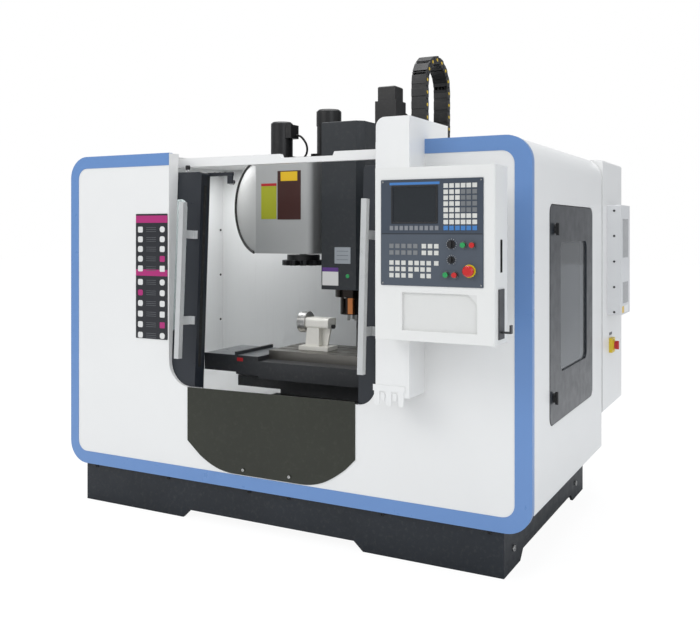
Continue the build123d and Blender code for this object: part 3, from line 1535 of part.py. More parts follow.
# Magazine cover: a folded sheet with an arc-cut wing on its left
cover_bend_x = -438.0
cover_wing_x = -640.0
cover_wing_y = -18.0
cover_turn = 30.0
cover_arc_r = 241.0
cover_arc_x = cover_wing_x + cover_arc_r
cover_arc_z = 1451.0
with BuildSketch() as cover_plan:
    with BuildLine():
        arc_x = cover_right_x - cover_turn
        arc_y = cover_front_y + cover_turn
        mid = cover_turn * cos(radians(45))
        inner_mid = (cover_turn - sheet) * cos(radians(45))
        Polyline((cover_wing_x, cover_wing_y), (cover_bend_x, cover_front_y), (arc_x, cover_front_y))
        ThreePointArc((arc_x, cover_front_y), (arc_x + mid, arc_y - mid), (cover_right_x, arc_y))
        Polyline((cover_right_x, arc_y), (cover_right_x, 50), (cover_right_x - sheet, 50))
        Line((cover_right_x - sheet, 50), (cover_right_x - sheet, arc_y))
        ThreePointArc(
            (cover_right_x - sheet, arc_y), (arc_x + inner_mid, arc_y - inner_mid),
            (arc_x, cover_front_y + sheet)
        )
        Polyline(
            (arc_x, cover_front_y + sheet), (cover_bend_x + 0.7, cover_front_y + sheet),
            (cover_wing_x + 1.4, cover_wing_y + 2.6), (cover_wing_x, cover_wing_y)
        )
    make_face()
with BuildPart() as magazine_cover:
    with BuildSketch(Plane.XY.offset(cover_bottom_z)):
        add(cover_plan.sketch)
    extrude(amount=cover_top_z - cover_bottom_z)
    with BuildSketch(Plane.XZ.offset(300)):
        with Locations((cover_arc_x - 150, cover_arc_z)):
            Rectangle(300, 700)
        with Locations((cover_arc_x, cover_arc_z)):
            Circle(cover_arc_r, mode=Mode.SUBTRACT)
    extrude(amount=-500, mode=Mode.SUBTRACT)
save(magazine_cover.part, "magazine_cover")

# Tool carousel: a disc with gripper forks round its rim, on a long shaft
disc_r = 84.0
fork_depth = 2 * (carousel_r - disc_r) + 8
with BuildPart() as tool_carousel:
    with BuildSketch(Plane.XY.offset(carousel_z + 22)):
        with Locations((carousel_x, carousel_y)):
            Circle(disc_r)
    extrude(amount=32)
    with BuildSketch(Plane.XY.offset(carousel_z)):
        with Locations((carousel_x, carousel_y)):
            with PolarLocations(carousel_r - fork_depth / 2, pockets):
                Rectangle(fork_depth, 30)
            with PolarLocations(carousel_r, pockets):
                RegularPolygon(11, 8, mode=Mode.SUBTRACT)
    extrude(amount=26)
    with BuildSketch(Plane.XY.offset(carousel_z + 54)):
        with Locations((carousel_x, carousel_y)):
            Circle(carousel_stem_r)
    extrude(amount=1678 - carousel_z - 54)
save(tool_carousel.part, "tool_carousel")
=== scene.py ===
import math

import bpy
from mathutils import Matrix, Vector


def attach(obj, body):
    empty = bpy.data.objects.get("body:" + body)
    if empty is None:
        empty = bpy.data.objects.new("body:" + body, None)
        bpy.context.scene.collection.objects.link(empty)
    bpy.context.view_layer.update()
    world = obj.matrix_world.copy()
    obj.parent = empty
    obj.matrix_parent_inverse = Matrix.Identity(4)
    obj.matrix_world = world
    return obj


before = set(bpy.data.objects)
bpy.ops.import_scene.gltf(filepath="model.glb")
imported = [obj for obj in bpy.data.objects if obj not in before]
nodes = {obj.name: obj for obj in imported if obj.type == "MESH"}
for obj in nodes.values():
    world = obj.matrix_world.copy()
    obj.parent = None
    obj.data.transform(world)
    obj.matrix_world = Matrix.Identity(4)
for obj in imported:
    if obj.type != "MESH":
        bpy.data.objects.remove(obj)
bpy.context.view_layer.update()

# Bodies that carry pieces
ROOT = "machine_frame"
LEFT = "left_sliding_door"
RIGHT = "right_sliding_door"
BOX = "swing_control_box"
HEAD = "spindle_head"
MAGAZINE = "magazine"
TABLE = "table"
CAROUSEL = "carousel"


# Shader helpers
def new_tree(name):
    material = bpy.data.materials.new(name)
    material.use_nodes = True
    tree = material.node_tree
    tree.nodes.clear()
    return material, tree


def node(tree, kind, **settings):
    made = tree.nodes.new(kind)
    for key, value in settings.items():
        setattr(made, key, value)
    return made


def math_node(tree, operation, a, b=None, c=None, clamp=False):
    made = node(tree, "ShaderNodeMath", operation=operation, use_clamp=clamp)
    for socket, value in zip(made.inputs, (a, b, c)):
        if value is None:
            continue
        if hasattr(value, "links"):
            tree.links.new(value, socket)
        else:
            socket.default_value = value
    return made.outputs[0]


def noise(tree, vector, scale, detail=3.0, rough=0.5):
    made = node(tree, "ShaderNodeTexNoise")
    tree.links.new(vector, made.inputs["Vector"])
    made.inputs["Scale"].default_value = scale
    made.inputs["Detail"].default_value = detail
    made.inputs["Roughness"].default_value = rough
    return made.outputs["Fac"]


def ramp(tree, value, low, high, to_low=0.0, to_high=1.0):
    made = node(tree, "ShaderNodeMapRange", clamp=True)
    tree.links.new(value, made.inputs["Value"])
    made.inputs["From Min"].default_value = low
    made.inputs["From Max"].default_value = high
    made.inputs["To Min"].default_value = to_low
    made.inputs["To Max"].default_value = to_high
    return made.outputs["Result"]


def mix_colour(tree, factor, a, b):
    made = node(tree, "ShaderNodeMix", data_type="RGBA")
    if hasattr(factor, "links"):
        tree.links.new(factor, made.inputs[0])
    else:
        made.inputs[0].default_value = factor
    for socket, value in ((made.inputs[6], a), (made.inputs[7], b)):
        if hasattr(value, "links"):
            tree.links.new(value, socket)
        else:
            socket.default_value = (*value, 1.0)
    return made.outputs[2]


def inside(tree, parts, low, high):
    """1 inside a box in the row frame, 0 outside. None leaves an axis free."""
    total = None
    for part, lo, hi in zip(parts, low, high):
        if lo is None:
            continue
        near = math_node(tree, "COMPARE", part, (lo + hi) / 2, (hi - lo) / 2)
        total = near if total is None else math_node(tree, "MULTIPLY", total, near)
    return total


def coat(name, base, rough=0.35, metal=0.0, clear=0.0, grain=(400.0, 0.02), vary=0.05, dust=0.0,
         edge=0.0015, brushed=None, zones=(), scratches=0.0, alpha=1.0, streak=0.0, swing=0.065):
    """A painted, cast, moulded or machined surface, with grain, uneven gloss, dust and wear."""
    material, tree = new_tree(name)
    out = node(tree, "ShaderNodeOutputMaterial")
    shader = node(tree, "ShaderNodeBsdfPrincipled")
    tree.links.new(shader.outputs[0], out.inputs[0])
    place = node(tree, "ShaderNodeTexCoord").outputs["Object"]
    parts = node(tree, "ShaderNodeSeparateXYZ")
    tree.links.new(place, parts.inputs[0])
    axes = [parts.outputs[0], parts.outputs[1], parts.outputs[2]]
    broad = noise(tree, place, 2.3, 4.0)
    middle = noise(tree, place, 19.0, 5.0, 0.6)
    fine = noise(tree, place, grain[0], 3.0)
    darker = tuple(channel * (1 - vary) for channel in base)
    lighter = tuple(min(1.0, channel * (1 + vary) + vary * 0.01) for channel in base)
    colour = mix_colour(tree, ramp(tree, broad, 0.3, 0.7), darker, lighter)
    gloss = ramp(tree, middle, 0.3, 0.75, max(0.02, rough - swing), min(1.0, rough + swing))
    metallic = None
    for zone in zones:
        mask = inside(tree, axes, zone["low"], zone["high"])
        colour = mix_colour(tree, mask, colour, zone["base"])
        if "rough" in zone:
            change = math_node(tree, "MULTIPLY", mask, zone["rough"] - rough)
            gloss = math_node(tree, "ADD", gloss, change, clamp=True)
        if "metal" in zone:
            start = metal if metallic is None else metallic
            part = math_node(tree, "MULTIPLY", math_node(tree, "SUBTRACT", 1.0, mask), start)
            metallic = math_node(tree, "MULTIPLY_ADD", mask, zone["metal"], part)
    if dust:
        patches = ramp(tree, noise(tree, place, 55.0, 8.0, 0.7), 0.52, 0.8, 0.0, dust)
        colour = mix_colour(tree, patches, colour, (0.33, 0.31, 0.27))
        gloss = math_node(tree, "ADD", gloss, math_node(tree, "MULTIPLY", patches, 0.5), clamp=True)
    if streak:
        stretch = node(tree, "ShaderNodeMapping")
        tree.links.new(place, stretch.inputs["Vector"])
        stretch.inputs["Scale"].default_value = (22.0, 22.0, 1.2)
        runs = ramp(tree, noise(tree, stretch.outputs[0], 3.0, 4.0, 0.6), 0.55, 0.8, 0.0, streak)
        colour = mix_colour(tree, runs, colour, (0.30, 0.28, 0.24))
    height = fine
    if brushed:
        stretch = node(tree, "ShaderNodeMapping")
        tree.links.new(place, stretch.inputs["Vector"])
        stretch.inputs["Scale"].default_value = brushed
        lines = noise(tree, stretch.outputs[0], 60.0, 2.0)
        height = math_node(tree, "MULTIPLY_ADD", lines, 1.5, fine)
        gloss = math_node(tree, "MULTIPLY_ADD", ramp(tree, lines, 0.35, 0.65), 0.12, gloss, clamp=True)
    if scratches:
        stretch = node(tree, "ShaderNodeMapping")
        tree.links.new(place, stretch.inputs["Vector"])
        stretch.inputs["Rotation"].default_value = (0.4, 0.9, 0.5)
        stretch.inputs["Scale"].default_value = (4.0, 160.0, 160.0)
        marks = ramp(tree, noise(tree, stretch.outputs[0], 2.0, 2.0), 0.66, 0.70, 0.0, scratches)
        colour = mix_colour(tree, marks, colour, lighter)
        gloss = math_node(tree, "MULTIPLY_ADD", marks, -0.15, gloss, clamp=True)
    bump = node(tree, "ShaderNodeBump")
    bump.inputs["Strength"].default_value = grain[1] * 10
    bump.inputs["Distance"].default_value = 0.0003
    tree.links.new(height, bump.inputs["Height"])
    if edge:
        bevel = node(tree, "ShaderNodeBevel", samples=4)
        bevel.inputs["Radius"].default_value = edge
        tree.links.new(bevel.outputs[0], bump.inputs["Normal"])
    tree.links.new(bump.outputs[0], shader.inputs["Normal"])
    tree.links.new(colour, shader.inputs["Base Color"])
    tree.links.new(gloss, shader.inputs["Roughness"])
    if metallic is None:
        shader.inputs["Metallic"].default_value = metal
    else:
        tree.links.new(metallic, shader.inputs["Metallic"])
    shader.inputs["Coat Weight"].default_value = clear
    shader.inputs["Coat Roughness"].default_value = 0.08
    shader.inputs["Alpha"].default_value = alpha
    return material


def glazing(name, tint, rough=0.03, cloud=0.08):
    """Clear sheet: mostly see-through, with a reflecting face, a tint and fine smears."""
    material, tree = new_tree(name)
    out = node(tree, "ShaderNodeOutputMaterial")
    place = node(tree, "ShaderNodeTexCoord").outputs["Object"]
    smear = ramp(tree, noise(tree, place, 9.0, 6.0, 0.7), 0.35, 0.8, rough, rough + 0.12)
    clear = node(tree, "ShaderNodeBsdfTransparent")
    clear.inputs[0].default_value = (*tint, 1.0)
    face = node(tree, "ShaderNodeBsdfGlossy")
    face.inputs["Color"].default_value = (0.95, 0.97, 1.0, 1.0)
    tree.links.new(smear, face.inputs["Roughness"])
    haze = node(tree, "ShaderNodeBsdfDiffuse")
    haze.inputs[0].default_value = (0.75, 0.78, 0.78, 1.0)
    bump = node(tree, "ShaderNodeBump")
    bump.inputs["Strength"].default_value = 0.05
    bump.inputs["Distance"].default_value = 0.001
    tree.links.new(noise(tree, place, 14.0, 2.0), bump.inputs["Height"])
    tree.links.new(bump.outputs[0], face.inputs["Normal"])
    first = node(tree, "ShaderNodeMixShader")
    first.inputs[0].default_value = cloud
    tree.links.new(clear.outputs[0], first.inputs[1])
    tree.links.new(haze.outputs[0], first.inputs[2])
    lean = node(tree, "ShaderNodeFresnel")
    lean.inputs["IOR"].default_value = 1.5
    second = node(tree, "ShaderNodeMixShader")
    tree.links.new(lean.outputs[0], second.inputs[0])
    tree.links.new(first.outputs[0], second.inputs[1])
    tree.links.new(face.outputs[0], second.inputs[2])
    tree.links.new(second.outputs[0], out.inputs[0])
    return material


# Surfaces
WHITE = (0.83, 0.83, 0.82)
white_panel = coat("white_panel", WHITE, 0.34, clear=0.15, grain=(520.0, 0.012), vary=0.008, swing=0.02)
white_inner = coat(
    "white_inner", (0.82, 0.83, 0.83), 0.38, grain=(420.0, 0.015), vary=0.02, dust=0.03, streak=0.05
)
white_box = coat(
    "white_box", (0.81, 0.81, 0.79), 0.34, clear=0.2, grain=(900.0, 0.03), vary=0.02,
    zones=[
        dict(low=(0.771, -0.9715, 0.969), high=(1.056, -0.960, 1.104), base=(0.74, 0.74, 0.72)),
        # Painted shade: the black strip on the side face stands for the shade inside the grip recess
        dict(
            low=(1.1165, -0.914, 1.182), high=(1.1215, -0.886, 1.298), base=(0.02, 0.02, 0.02), rough=0.5
        ),
        dict(low=(1.1222, -0.94, 0.90), high=(1.20, -0.87, 1.13), base=(0.03, 0.03, 0.032), rough=0.45)
    ]
)
blue_trim = coat(
    "blue_trim", (0.135, 0.270, 0.56), 0.30, clear=0.2, grain=(520.0, 0.012), vary=0.02, swing=0.03
)
base_paint = coat(
    "base_paint", (0.008, 0.012, 0.018), 0.50, grain=(260.0, 0.05), vary=0.18, dust=0.10, scratches=0.25
)
door_paint = coat(
    "door_paint", (0.016, 0.020, 0.027), 0.34, clear=0.15, grain=(420.0, 0.02), vary=0.10, scratches=0.12
)
# Dark paint with a painted reflection: the olive cast of the apron colour stands for the surroundings
# reflected in it
apron_paint = coat(
    "apron_paint", (0.017, 0.019, 0.010), 0.42, clear=0.0, grain=(420.0, 0.02), vary=0.12, dust=0.05
)
head_paint = coat("head_paint", (0.018, 0.022, 0.027), 0.42, grain=(320.0, 0.05), vary=0.12, dust=0.06)
cast_grey = coat("cast_grey", (0.24, 0.25, 0.26), 0.55, grain=(190.0, 0.12), vary=0.12, dust=0.15)
column_paint = coat(
    "column_paint", (0.035, 0.038, 0.045), 0.5, grain=(190.0, 0.10), vary=0.12, dust=0.08,
    zones=[
        dict(low=(-0.130, 0.410, 0.50), high=(0.262, 0.4545, 1.79), base=(0.46, 0.47, 0.48), rough=0.35)
    ]
)
saddle_paint = coat(
    "saddle_paint", (0.035, 0.037, 0.040), 0.5, grain=(190.0, 0.10), vary=0.12, dust=0.12,
    zones=[
        dict(
            low=(-0.44, -0.27, 0.6125), high=(0.57, -0.02, 0.66), base=(0.55, 0.55, 0.55), rough=0.25,
            metal=1.0
        ),
        dict(
            low=(-0.22, -0.48, 0.43), high=(0.35, -0.301, 0.56), base=(0.10, 0.10, 0.10), rough=0.35,
            metal=0.8
        )
    ]
)
ground = coat(
    "ground", (0.52, 0.52, 0.51), 0.28, metal=1.0, grain=(600.0, 0.02), vary=0.10,
    brushed=(4.0, 90.0, 90.0), scratches=0.4
)
table_steel = coat(
    "table_steel", (0.24, 0.23, 0.21), 0.33, metal=1.0, grain=(600.0, 0.03), vary=0.14,
    brushed=(90.0, 5.0, 90.0), scratches=0.5, dust=0.12
)
guard_steel = coat(
    "guard_steel", (0.030, 0.032, 0.036), 0.42, grain=(400.0, 0.03), vary=0.12, dust=0.10, scratches=0.35,
    zones=[
        # Painted reflection: the lighter grey top face stands for the light walls reflected in the
        # stainless top, against the dark front faces
        dict(
            low=(-0.60, -0.3945, 0.7255), high=(0.90, -0.07, 0.7285), base=(0.13, 0.14, 0.15), rough=0.32
        )
    ]
)
hood_steel = coat(
    "hood_steel", (0.10, 0.105, 0.11), 0.34, metal=0.8, grain=(500.0, 0.03), vary=0.12,
    brushed=(5.0, 90.0, 90.0), scratches=0.4, dust=0.10
)
polished = coat(
    "polished", (0.62, 0.62, 0.63), 0.16, metal=1.0, grain=(800.0, 0.01), vary=0.06, scratches=0.3
)
dark_polished = coat(
    "dark_polished", (0.035, 0.028, 0.024), 0.16, metal=0.9, grain=(800.0, 0.01), vary=0.12,
    zones=[
        # Painted highlight: the copper-orange strip on the +X side of the spindle cartridge is a painted
        # reflection, not a separate part
        dict(
            low=(0.072, -0.09, 0.918), high=(0.104, 0.05, 0.996), base=(0.58, 0.22, 0.08), rough=0.18,
            metal=1.0
        )
    ]
)
handle_paint = coat(
    "handle_paint", (0.62, 0.63, 0.63), 0.30, metal=0.35, grain=(700.0, 0.02), vary=0.05,
    brushed=(60.0, 60.0, 3.0), scratches=0.2
)
motor_black = coat("motor_black", (0.011, 0.011, 0.012), 0.38, grain=(300.0, 0.06), vary=0.2, dust=0.07)
chain_black = coat(
    "chain_black", (0.014, 0.014, 0.015), 0.48, grain=(500.0, 0.04), vary=0.15, dust=0.08,
    zones=[
        dict(low=(0.2825, None, None), high=(0.2860, None, None), base=(0.62, 0.42, 0.02), rough=0.35),
        dict(low=(0.1940, None, None), high=(0.1975, None, None), base=(0.62, 0.42, 0.02), rough=0.35)
    ]
)
cream = coat("cream", (0.84, 0.82, 0.76), 0.36, grain=(260.0, 0.05), vary=0.06, dust=0.08)
black_plastic = coat(
    "black_plastic", (0.015, 0.015, 0.016), 0.42, grain=(900.0, 0.05), vary=0.12, scratches=0.1
)
cover_grey = coat("cover_grey", (0.42, 0.425, 0.42), 0.36, grain=(420.0, 0.02), vary=0.03, dust=0.02)
red_plastic = coat("red_plastic", (0.56, 0.012, 0.012), 0.24, clear=0.4, grain=(900.0, 0.01), vary=0.06)
green_plastic = coat("green_plastic", (0.02, 0.32, 0.09), 0.26, clear=0.3, grain=(900.0, 0.01), vary=0.06)
yellow_plastic = coat("yellow_plastic", (0.75, 0.55, 0.03), 0.35, grain=(900.0, 0.02), vary=0.06)
rubber = coat("rubber", (0.012, 0.012, 0.012), 0.68, grain=(350.0, 0.08), vary=0.2, dust=0.12)
screw_steel = coat(
    "screw_steel", (0.50, 0.50, 0.49), 0.28, metal=1.0, grain=(1500.0, 0.03), vary=0.1, edge=0.0006
)
dark_screw = coat(
    "dark_screw", (0.03, 0.03, 0.03), 0.35, metal=0.6, grain=(1500.0, 0.03), vary=0.1, edge=0.0006
)
clear_pane = glazing("clear_pane", (0.80, 0.84, 0.84))

# Fields of colour on the operator panel, its keys and its screen
panel_face = coat(
    "panel_face", (0.045, 0.060, 0.085), 0.42, grain=(900.0, 0.05), vary=0.08,
    zones=[
        dict(low=(0.690, -0.9745, 1.130), high=(1.078, -0.9735, 1.3185), base=(0.075, 0.092, 0.118)),
        dict(low=(0.722, -0.9745, 1.4955), high=(0.918, -0.9735, 1.5045), base=(0.05, 0.20, 0.52)),
        dict(low=(0.690, -0.9745, 1.3165), high=(1.078, -0.9735, 1.3195), base=(0.012, 0.014, 0.018)),
        dict(
            low=(1.0075, -0.9805, 1.1645), high=(1.0545, -0.9745, 1.2115), base=(0.80, 0.58, 0.02),
            rough=0.3
        ),
        dict(
            low=(0.990, -0.9785, 1.150), high=(1.060, -0.9742, 1.300), base=(0.20, 0.20, 0.20), rough=0.3,
            metal=0.9
        ),
        dict(
            low=(0.925, -0.9785, 1.155), high=(0.990, -0.9742, 1.190), base=(0.20, 0.20, 0.20), rough=0.3,
            metal=0.9
        ),
        dict(
            low=(1.0075, -0.9805, 1.1645), high=(1.0545, -0.9745, 1.2115), base=(0.80, 0.58, 0.02),
            rough=0.3, metal=0.0
        )
    ]
)
keys = coat(
    "keys", (0.66, 0.66, 0.62), 0.45, grain=(1200.0, 0.03), vary=0.04, edge=0.0008,
    zones=[
        dict(low=(0.998, None, 1.392), high=(1.062, None, 1.478), base=(0.17, 0.18, 0.19)),
        dict(low=(0.718, None, 1.240), high=(0.838, None, 1.284), base=(0.20, 0.21, 0.22)),
        dict(low=(0.930, None, 1.330), high=(1.062, None, 1.349), base=(0.05, 0.20, 0.50)),
        dict(low=(0.720, None, 1.330), high=(0.918, None, 1.348), base=(0.22, 0.23, 0.25)),
        dict(low=(0.819, None, 1.158), high=(0.842, None, 1.176), base=(0.55, 0.03, 0.03)),
        dict(low=(0.895, None, 1.158), high=(0.918, None, 1.176), base=(0.62, 0.52, 0.05))
    ]
)
screen_face = coat("screen_face", (0.010, 0.014, 0.018), 0.10, clear=0.6, grain=(900.0, 0.004), vary=0.1)
exchanger_paint = coat(
    "exchanger_paint", (0.74, 0.745, 0.75), 0.34, clear=0.2, grain=(520.0, 0.02), vary=0.02,
    zones=[
        dict(low=(1.200, 0.690, 1.170), high=(1.239, 0.890, 1.410), base=(0.05, 0.05, 0.052), rough=0.5),
        dict(low=(1.200, 0.690, 0.940), high=(1.239, 0.890, 1.080), base=(0.05, 0.05, 0.052), rough=0.5),
        dict(
            low=(1.2395, 0.700, 0.908), high=(1.2405, 0.752, 0.942), base=(0.80, 0.50, 0.01), rough=0.40
        ),
        dict(low=(1.2395, 0.762, 0.908), high=(1.2405, 0.868, 0.942), base=(0.90, 0.90, 0.89), rough=0.40)
    ]
)

looks = {
    base_paint: ("base_plinth", "base_tray"),
    cast_grey: ("bed_casting",),
    column_paint: ("column", "column_brackets"),
    ground: ("linear_ways", "rotary_faceplate", "spindle_shaft"),
    white_inner: ("inner_liner_left", "inner_liner_right"),
    white_panel: (
        "left_side_shell", "right_side_shell", "front_panel", "cable_duct", "electrical_cabinet",
        "cabinet_door", "top_beam",
    ),
    blue_trim: ("border_trim",),
    apron_paint: ("apron_plate",),
    exchanger_paint: ("heat_exchanger",),
    yellow_plastic: ("isolator_base",),
    motor_black: ("axis_motors", "magazine_motor", "magazine_frame"),
    chain_black: ("cable_chain",),
    hood_steel: ("way_hood_fixed", "way_hood_1", "way_hood_2"),
    door_paint: ("left_door", "right_door", "access_door"),
    clear_pane: ("left_door_pane", "right_door_pane", "access_window_pane"),
    handle_paint: ("left_handle", "right_handle"),
    saddle_paint: ("saddle",),
    table_steel: ("work_table",),
    guard_steel: ("table_guards",),
    cream: ("rotary_unit",),
    head_paint: ("head_casting", "head_cover"),
    dark_polished: ("spindle_cartridge",),
    cover_grey: ("magazine_cover",),
    black_plastic: (
        "tool_carousel", "upper_latch", "lower_latch", "clamp_knob", "feed_selector", "jog_selector",
    ),
    red_plastic: ("isolator_knob", "estop_button", "stop_button", "power_off_button"),
    green_plastic: ("start_button", "power_on_button"),
    white_box: ("control_box",),
    panel_face: ("operator_panel",),
    screen_face: ("screen_glass",),
    keys: ("keypad",),
}
for surface, names in looks.items():
    for name in names:
        nodes[name].data.materials.clear()
        nodes[name].data.materials.append(surface)


# Piece helpers: every mesh is built in the row frame and rides on its CAD body
def finish_piece(mesh, name, surface, body, bevel=0.0, smooth=False):
    mesh.materials.append(surface)
    if smooth:
        for face in mesh.polygons:
            face.use_smooth = True
    made = bpy.data.objects.new(name, mesh)
    bpy.context.scene.collection.objects.link(made)
    if bevel:
        rounding = made.modifiers.new("rounding", "BEVEL")
        rounding.width = bevel
        rounding.segments = 2
        rounding.limit_method = "ANGLE"
    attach(made, body)
    return made


def prism(name, outline, origin, across, up, depth, surface, body, bevel=0.0):
    """An outline in the across/up plane, pushed along its normal by depth."""
    origin, across, up = Vector(origin), Vector(across).normalized(), Vector(up).normalized()
    push = across.cross(up) * depth
    lower = [origin + across * x + up * y for x, y in outline]
    count = len(lower)
    points = lower + [p + push for p in lower]
    faces = [tuple(range(count - 1, -1, -1)), tuple(range(count, 2 * count))]
    faces += [(i, (i + 1) % count, (i + 1) % count + count, i + count) for i in range(count)]
    mesh = bpy.data.meshes.new(name)
    mesh.from_pydata([tuple(p) for p in points], [], faces)
    mesh.update()
    return finish_piece(mesh, name, surface, body, bevel)


def slab(name, low, high, surface, body, bevel=0.0006):
    """An upright box between two corners."""
    size = [b - a for a, b in zip(low, high)]
    outline = [(0, 0), (size[0], 0), (size[0], size[1]), (0, size[1])]
    return prism(name, outline, low, (1, 0, 0), (0, 1, 0), size[2], surface, body, bevel)


def round_outline(width, height, radius, steps=5):
    points = []
    for cx, cy, start in (
        (width / 2 - radius, height / 2 - radius, 0),
        (-width / 2 + radius, height / 2 - radius, 90),
        (-width / 2 + radius, -height / 2 + radius, 180),
        (width / 2 - radius, -height / 2 + radius, 270),
    ):
        for i in range(steps + 1):
            turn = math.radians(start + 90 * i / steps)
            points.append((cx + radius * math.cos(turn), cy + radius * math.sin(turn)))
    return points


def plate(name, centre, across, up, width, height, depth, surface, body, radius=0.004, bevel=0.0003):
    """A thin plate lying on a face, its normal pointing along across x up."""
    return prism(
        name, round_outline(width, height, radius), centre, across, up, depth, surface, body, bevel
    )


def turned(name, profile, base, axis, surface, body, sides=32):
    """A turned piece: (radius, height) pairs swept round an axis."""
    axis = Vector(axis).normalized()
    side = Vector((0, 0, 1)) if abs(axis.z) < 0.9 else Vector((1, 0, 0))
    u = axis.cross(side).normalized()
    v = axis.cross(u)
    base = Vector(base)
    points, faces = [], []
    for radius, height in profile:
        for i in range(sides):
            turn = 2 * math.pi * i / sides
            points.append(base + axis * height + (u * math.cos(turn) + v * math.sin(turn)) * radius)
    for ring in range(len(profile) - 1):
        for i in range(sides):
            j = (i + 1) % sides
            faces.append(
                (ring * sides + i, ring * sides + j, (ring + 1) * sides + j, (ring + 1) * sides + i)
            )
    faces.append(tuple(range(sides - 1, -1, -1)))
    faces.append(tuple((len(profile) - 1) * sides + i for i in range(sides)))
    mesh = bpy.data.meshes.new(name)
    mesh.from_pydata([tuple(p) for p in points], [], faces)
    mesh.update()
    made = finish_piece(mesh, name, surface, body)
    for face in mesh.polygons[:-2]:
        face.use_smooth = True
    made.data.set_sharp_from_angle(angle=math.radians(35))
    return made


def screw(name, at, axis, size, surface, body):
    """A socket-head screw seen from outside: a low chamfered head with a sunk drive."""
    r = size / 2
    return turned(
        name, [(r, 0.0), (r, r * 0.45), (r * 0.86, r * 0.62), (r * 0.5, r * 0.62), (r * 0.42, r * 0.25)],
        at, axis, surface, body, 18
    )


def tube(name, points, radius, surface, body, closed=False, resolution=6):
    """A round hose or cable through points, as a mesh."""
    curve = bpy.data.curves.new(name, "CURVE")
    curve.dimensions = "3D"
    curve.bevel_depth = radius
    curve.bevel_resolution = 3
    curve.resolution_u = resolution
    curve.use_fill_caps = True
    spline = curve.splines.new("BEZIER")
    spline.bezier_points.add(len(points) - 1)
    for knot, point in zip(spline.bezier_points, points):
        knot.co = point
        knot.handle_left_type = knot.handle_right_type = "AUTO"
    spline.use_cyclic_u = closed
    holder = bpy.data.objects.new(name + "_path", curve)
    bpy.context.scene.collection.objects.link(holder)
    bpy.context.view_layer.update()
    mesh = bpy.data.meshes.new_from_object(holder.evaluated_get(bpy.context.evaluated_depsgraph_get()))
    bpy.data.objects.remove(holder)
    mesh.name = name
    mesh.materials.clear()
    return finish_piece(mesh, name, surface, body, smooth=True)


# Surfaces for the small pieces
plate_dark = coat(
    "plate_dark", (0.016, 0.017, 0.022), 0.40, grain=(1200.0, 0.02), vary=0.08,
    zones=[
        dict(low=(-0.7495, None, 1.366), high=(-0.5575, None, 1.400), base=(0.42, 0.018, 0.17)),
        dict(low=(-0.7495, None, 1.116), high=(-0.5575, None, 1.146), base=(0.42, 0.018, 0.17))
    ]
)
sign_white = coat("sign_white", (0.72, 0.72, 0.71), 0.42, grain=(1200.0, 0.02), vary=0.05)
sign_grey = coat("sign_grey", (0.10, 0.105, 0.115), 0.45, grain=(1200.0, 0.02), vary=0.10)
sign_silver = coat("sign_silver", (0.36, 0.39, 0.42), 0.38, metal=0.3, grain=(1200.0, 0.02), vary=0.08)
sign_magenta = coat("sign_magenta", (0.42, 0.018, 0.17), 0.42, grain=(1200.0, 0.02), vary=0.06)
sign_olive = coat("sign_olive", (0.38, 0.40, 0.02), 0.42, grain=(1200.0, 0.02), vary=0.06, dust=0.04)
sign_brown = coat("sign_brown", (0.050, 0.013, 0.010), 0.40, grain=(1200.0, 0.02), vary=0.14)
sign_yellow = coat("sign_yellow", (0.80, 0.50, 0.01), 0.40, grain=(1200.0, 0.02), vary=0.06)
sign_red = coat("sign_red", (0.45, 0.015, 0.02), 0.42, grain=(1200.0, 0.02), vary=0.08)
sign_purple = coat("sign_purple", (0.11, 0.035, 0.24), 0.42, grain=(1200.0, 0.02), vary=0.08)
brass = coat("brass", (0.62, 0.42, 0.16), 0.28, metal=1.0, grain=(1200.0, 0.03), vary=0.12, edge=0.0006)
hose_grey = coat("hose_grey", (0.20, 0.21, 0.22), 0.5, grain=(500.0, 0.05), vary=0.12, dust=0.10)

FRONT_ACROSS, FRONT_UP = (1, 0, 0), (0, 0, 1)
SIDE_ACROSS, SIDE_UP = (0, 1, 0), (0, 0, 1)

# Where thin plates and screws sit, about 0.1 mm off the face behind them, and the plates' thicknesses
SHEET_Y = -0.6801
SIGN_Y = -0.6808
COVER_Y = -0.1281
COVER_FIELD_Y = -0.1288
HEAD_Y = -0.1331
HEAD_FIELD_Y = -0.1338
PANEL_Y = -0.9741
BEZEL_Y = -0.9762
TICK_Y = -0.97405
GUARD_Y = -0.3981
CABINET_X = 1.1701
SPINDLE_X, SPINDLE_Y = 0.066, -0.019
CAROUSEL_X, CAROUSEL_Y, CAROUSEL_LOW_Z = -0.218, -0.019, 1.1739
PLATE_T = 0.0006
MARK_T = 0.0002


def front_plate(name, x0, x1, z0, z1, face_y, depth, surface, body, radius=0.002):
    """A thin plate on a face that looks to -Y, set by its corners."""
    centre = ((x0 + x1) / 2, face_y, (z0 + z1) / 2)
    return plate(
        name, centre, FRONT_ACROSS, FRONT_UP, x1 - x0, z1 - z0, depth, surface, body, radius, 0.0
    )


def side_plate(name, y0, y1, z0, z1, face_x, depth, surface, body, radius=0.002):
    """A thin plate on a face that looks to +X, set by its corners."""
    centre = (face_x, (y0 + y1) / 2, (z0 + z1) / 2)
    return plate(name, centre, SIDE_ACROSS, SIDE_UP, y1 - y0, z1 - z0, depth, surface, body, radius, 0.0)


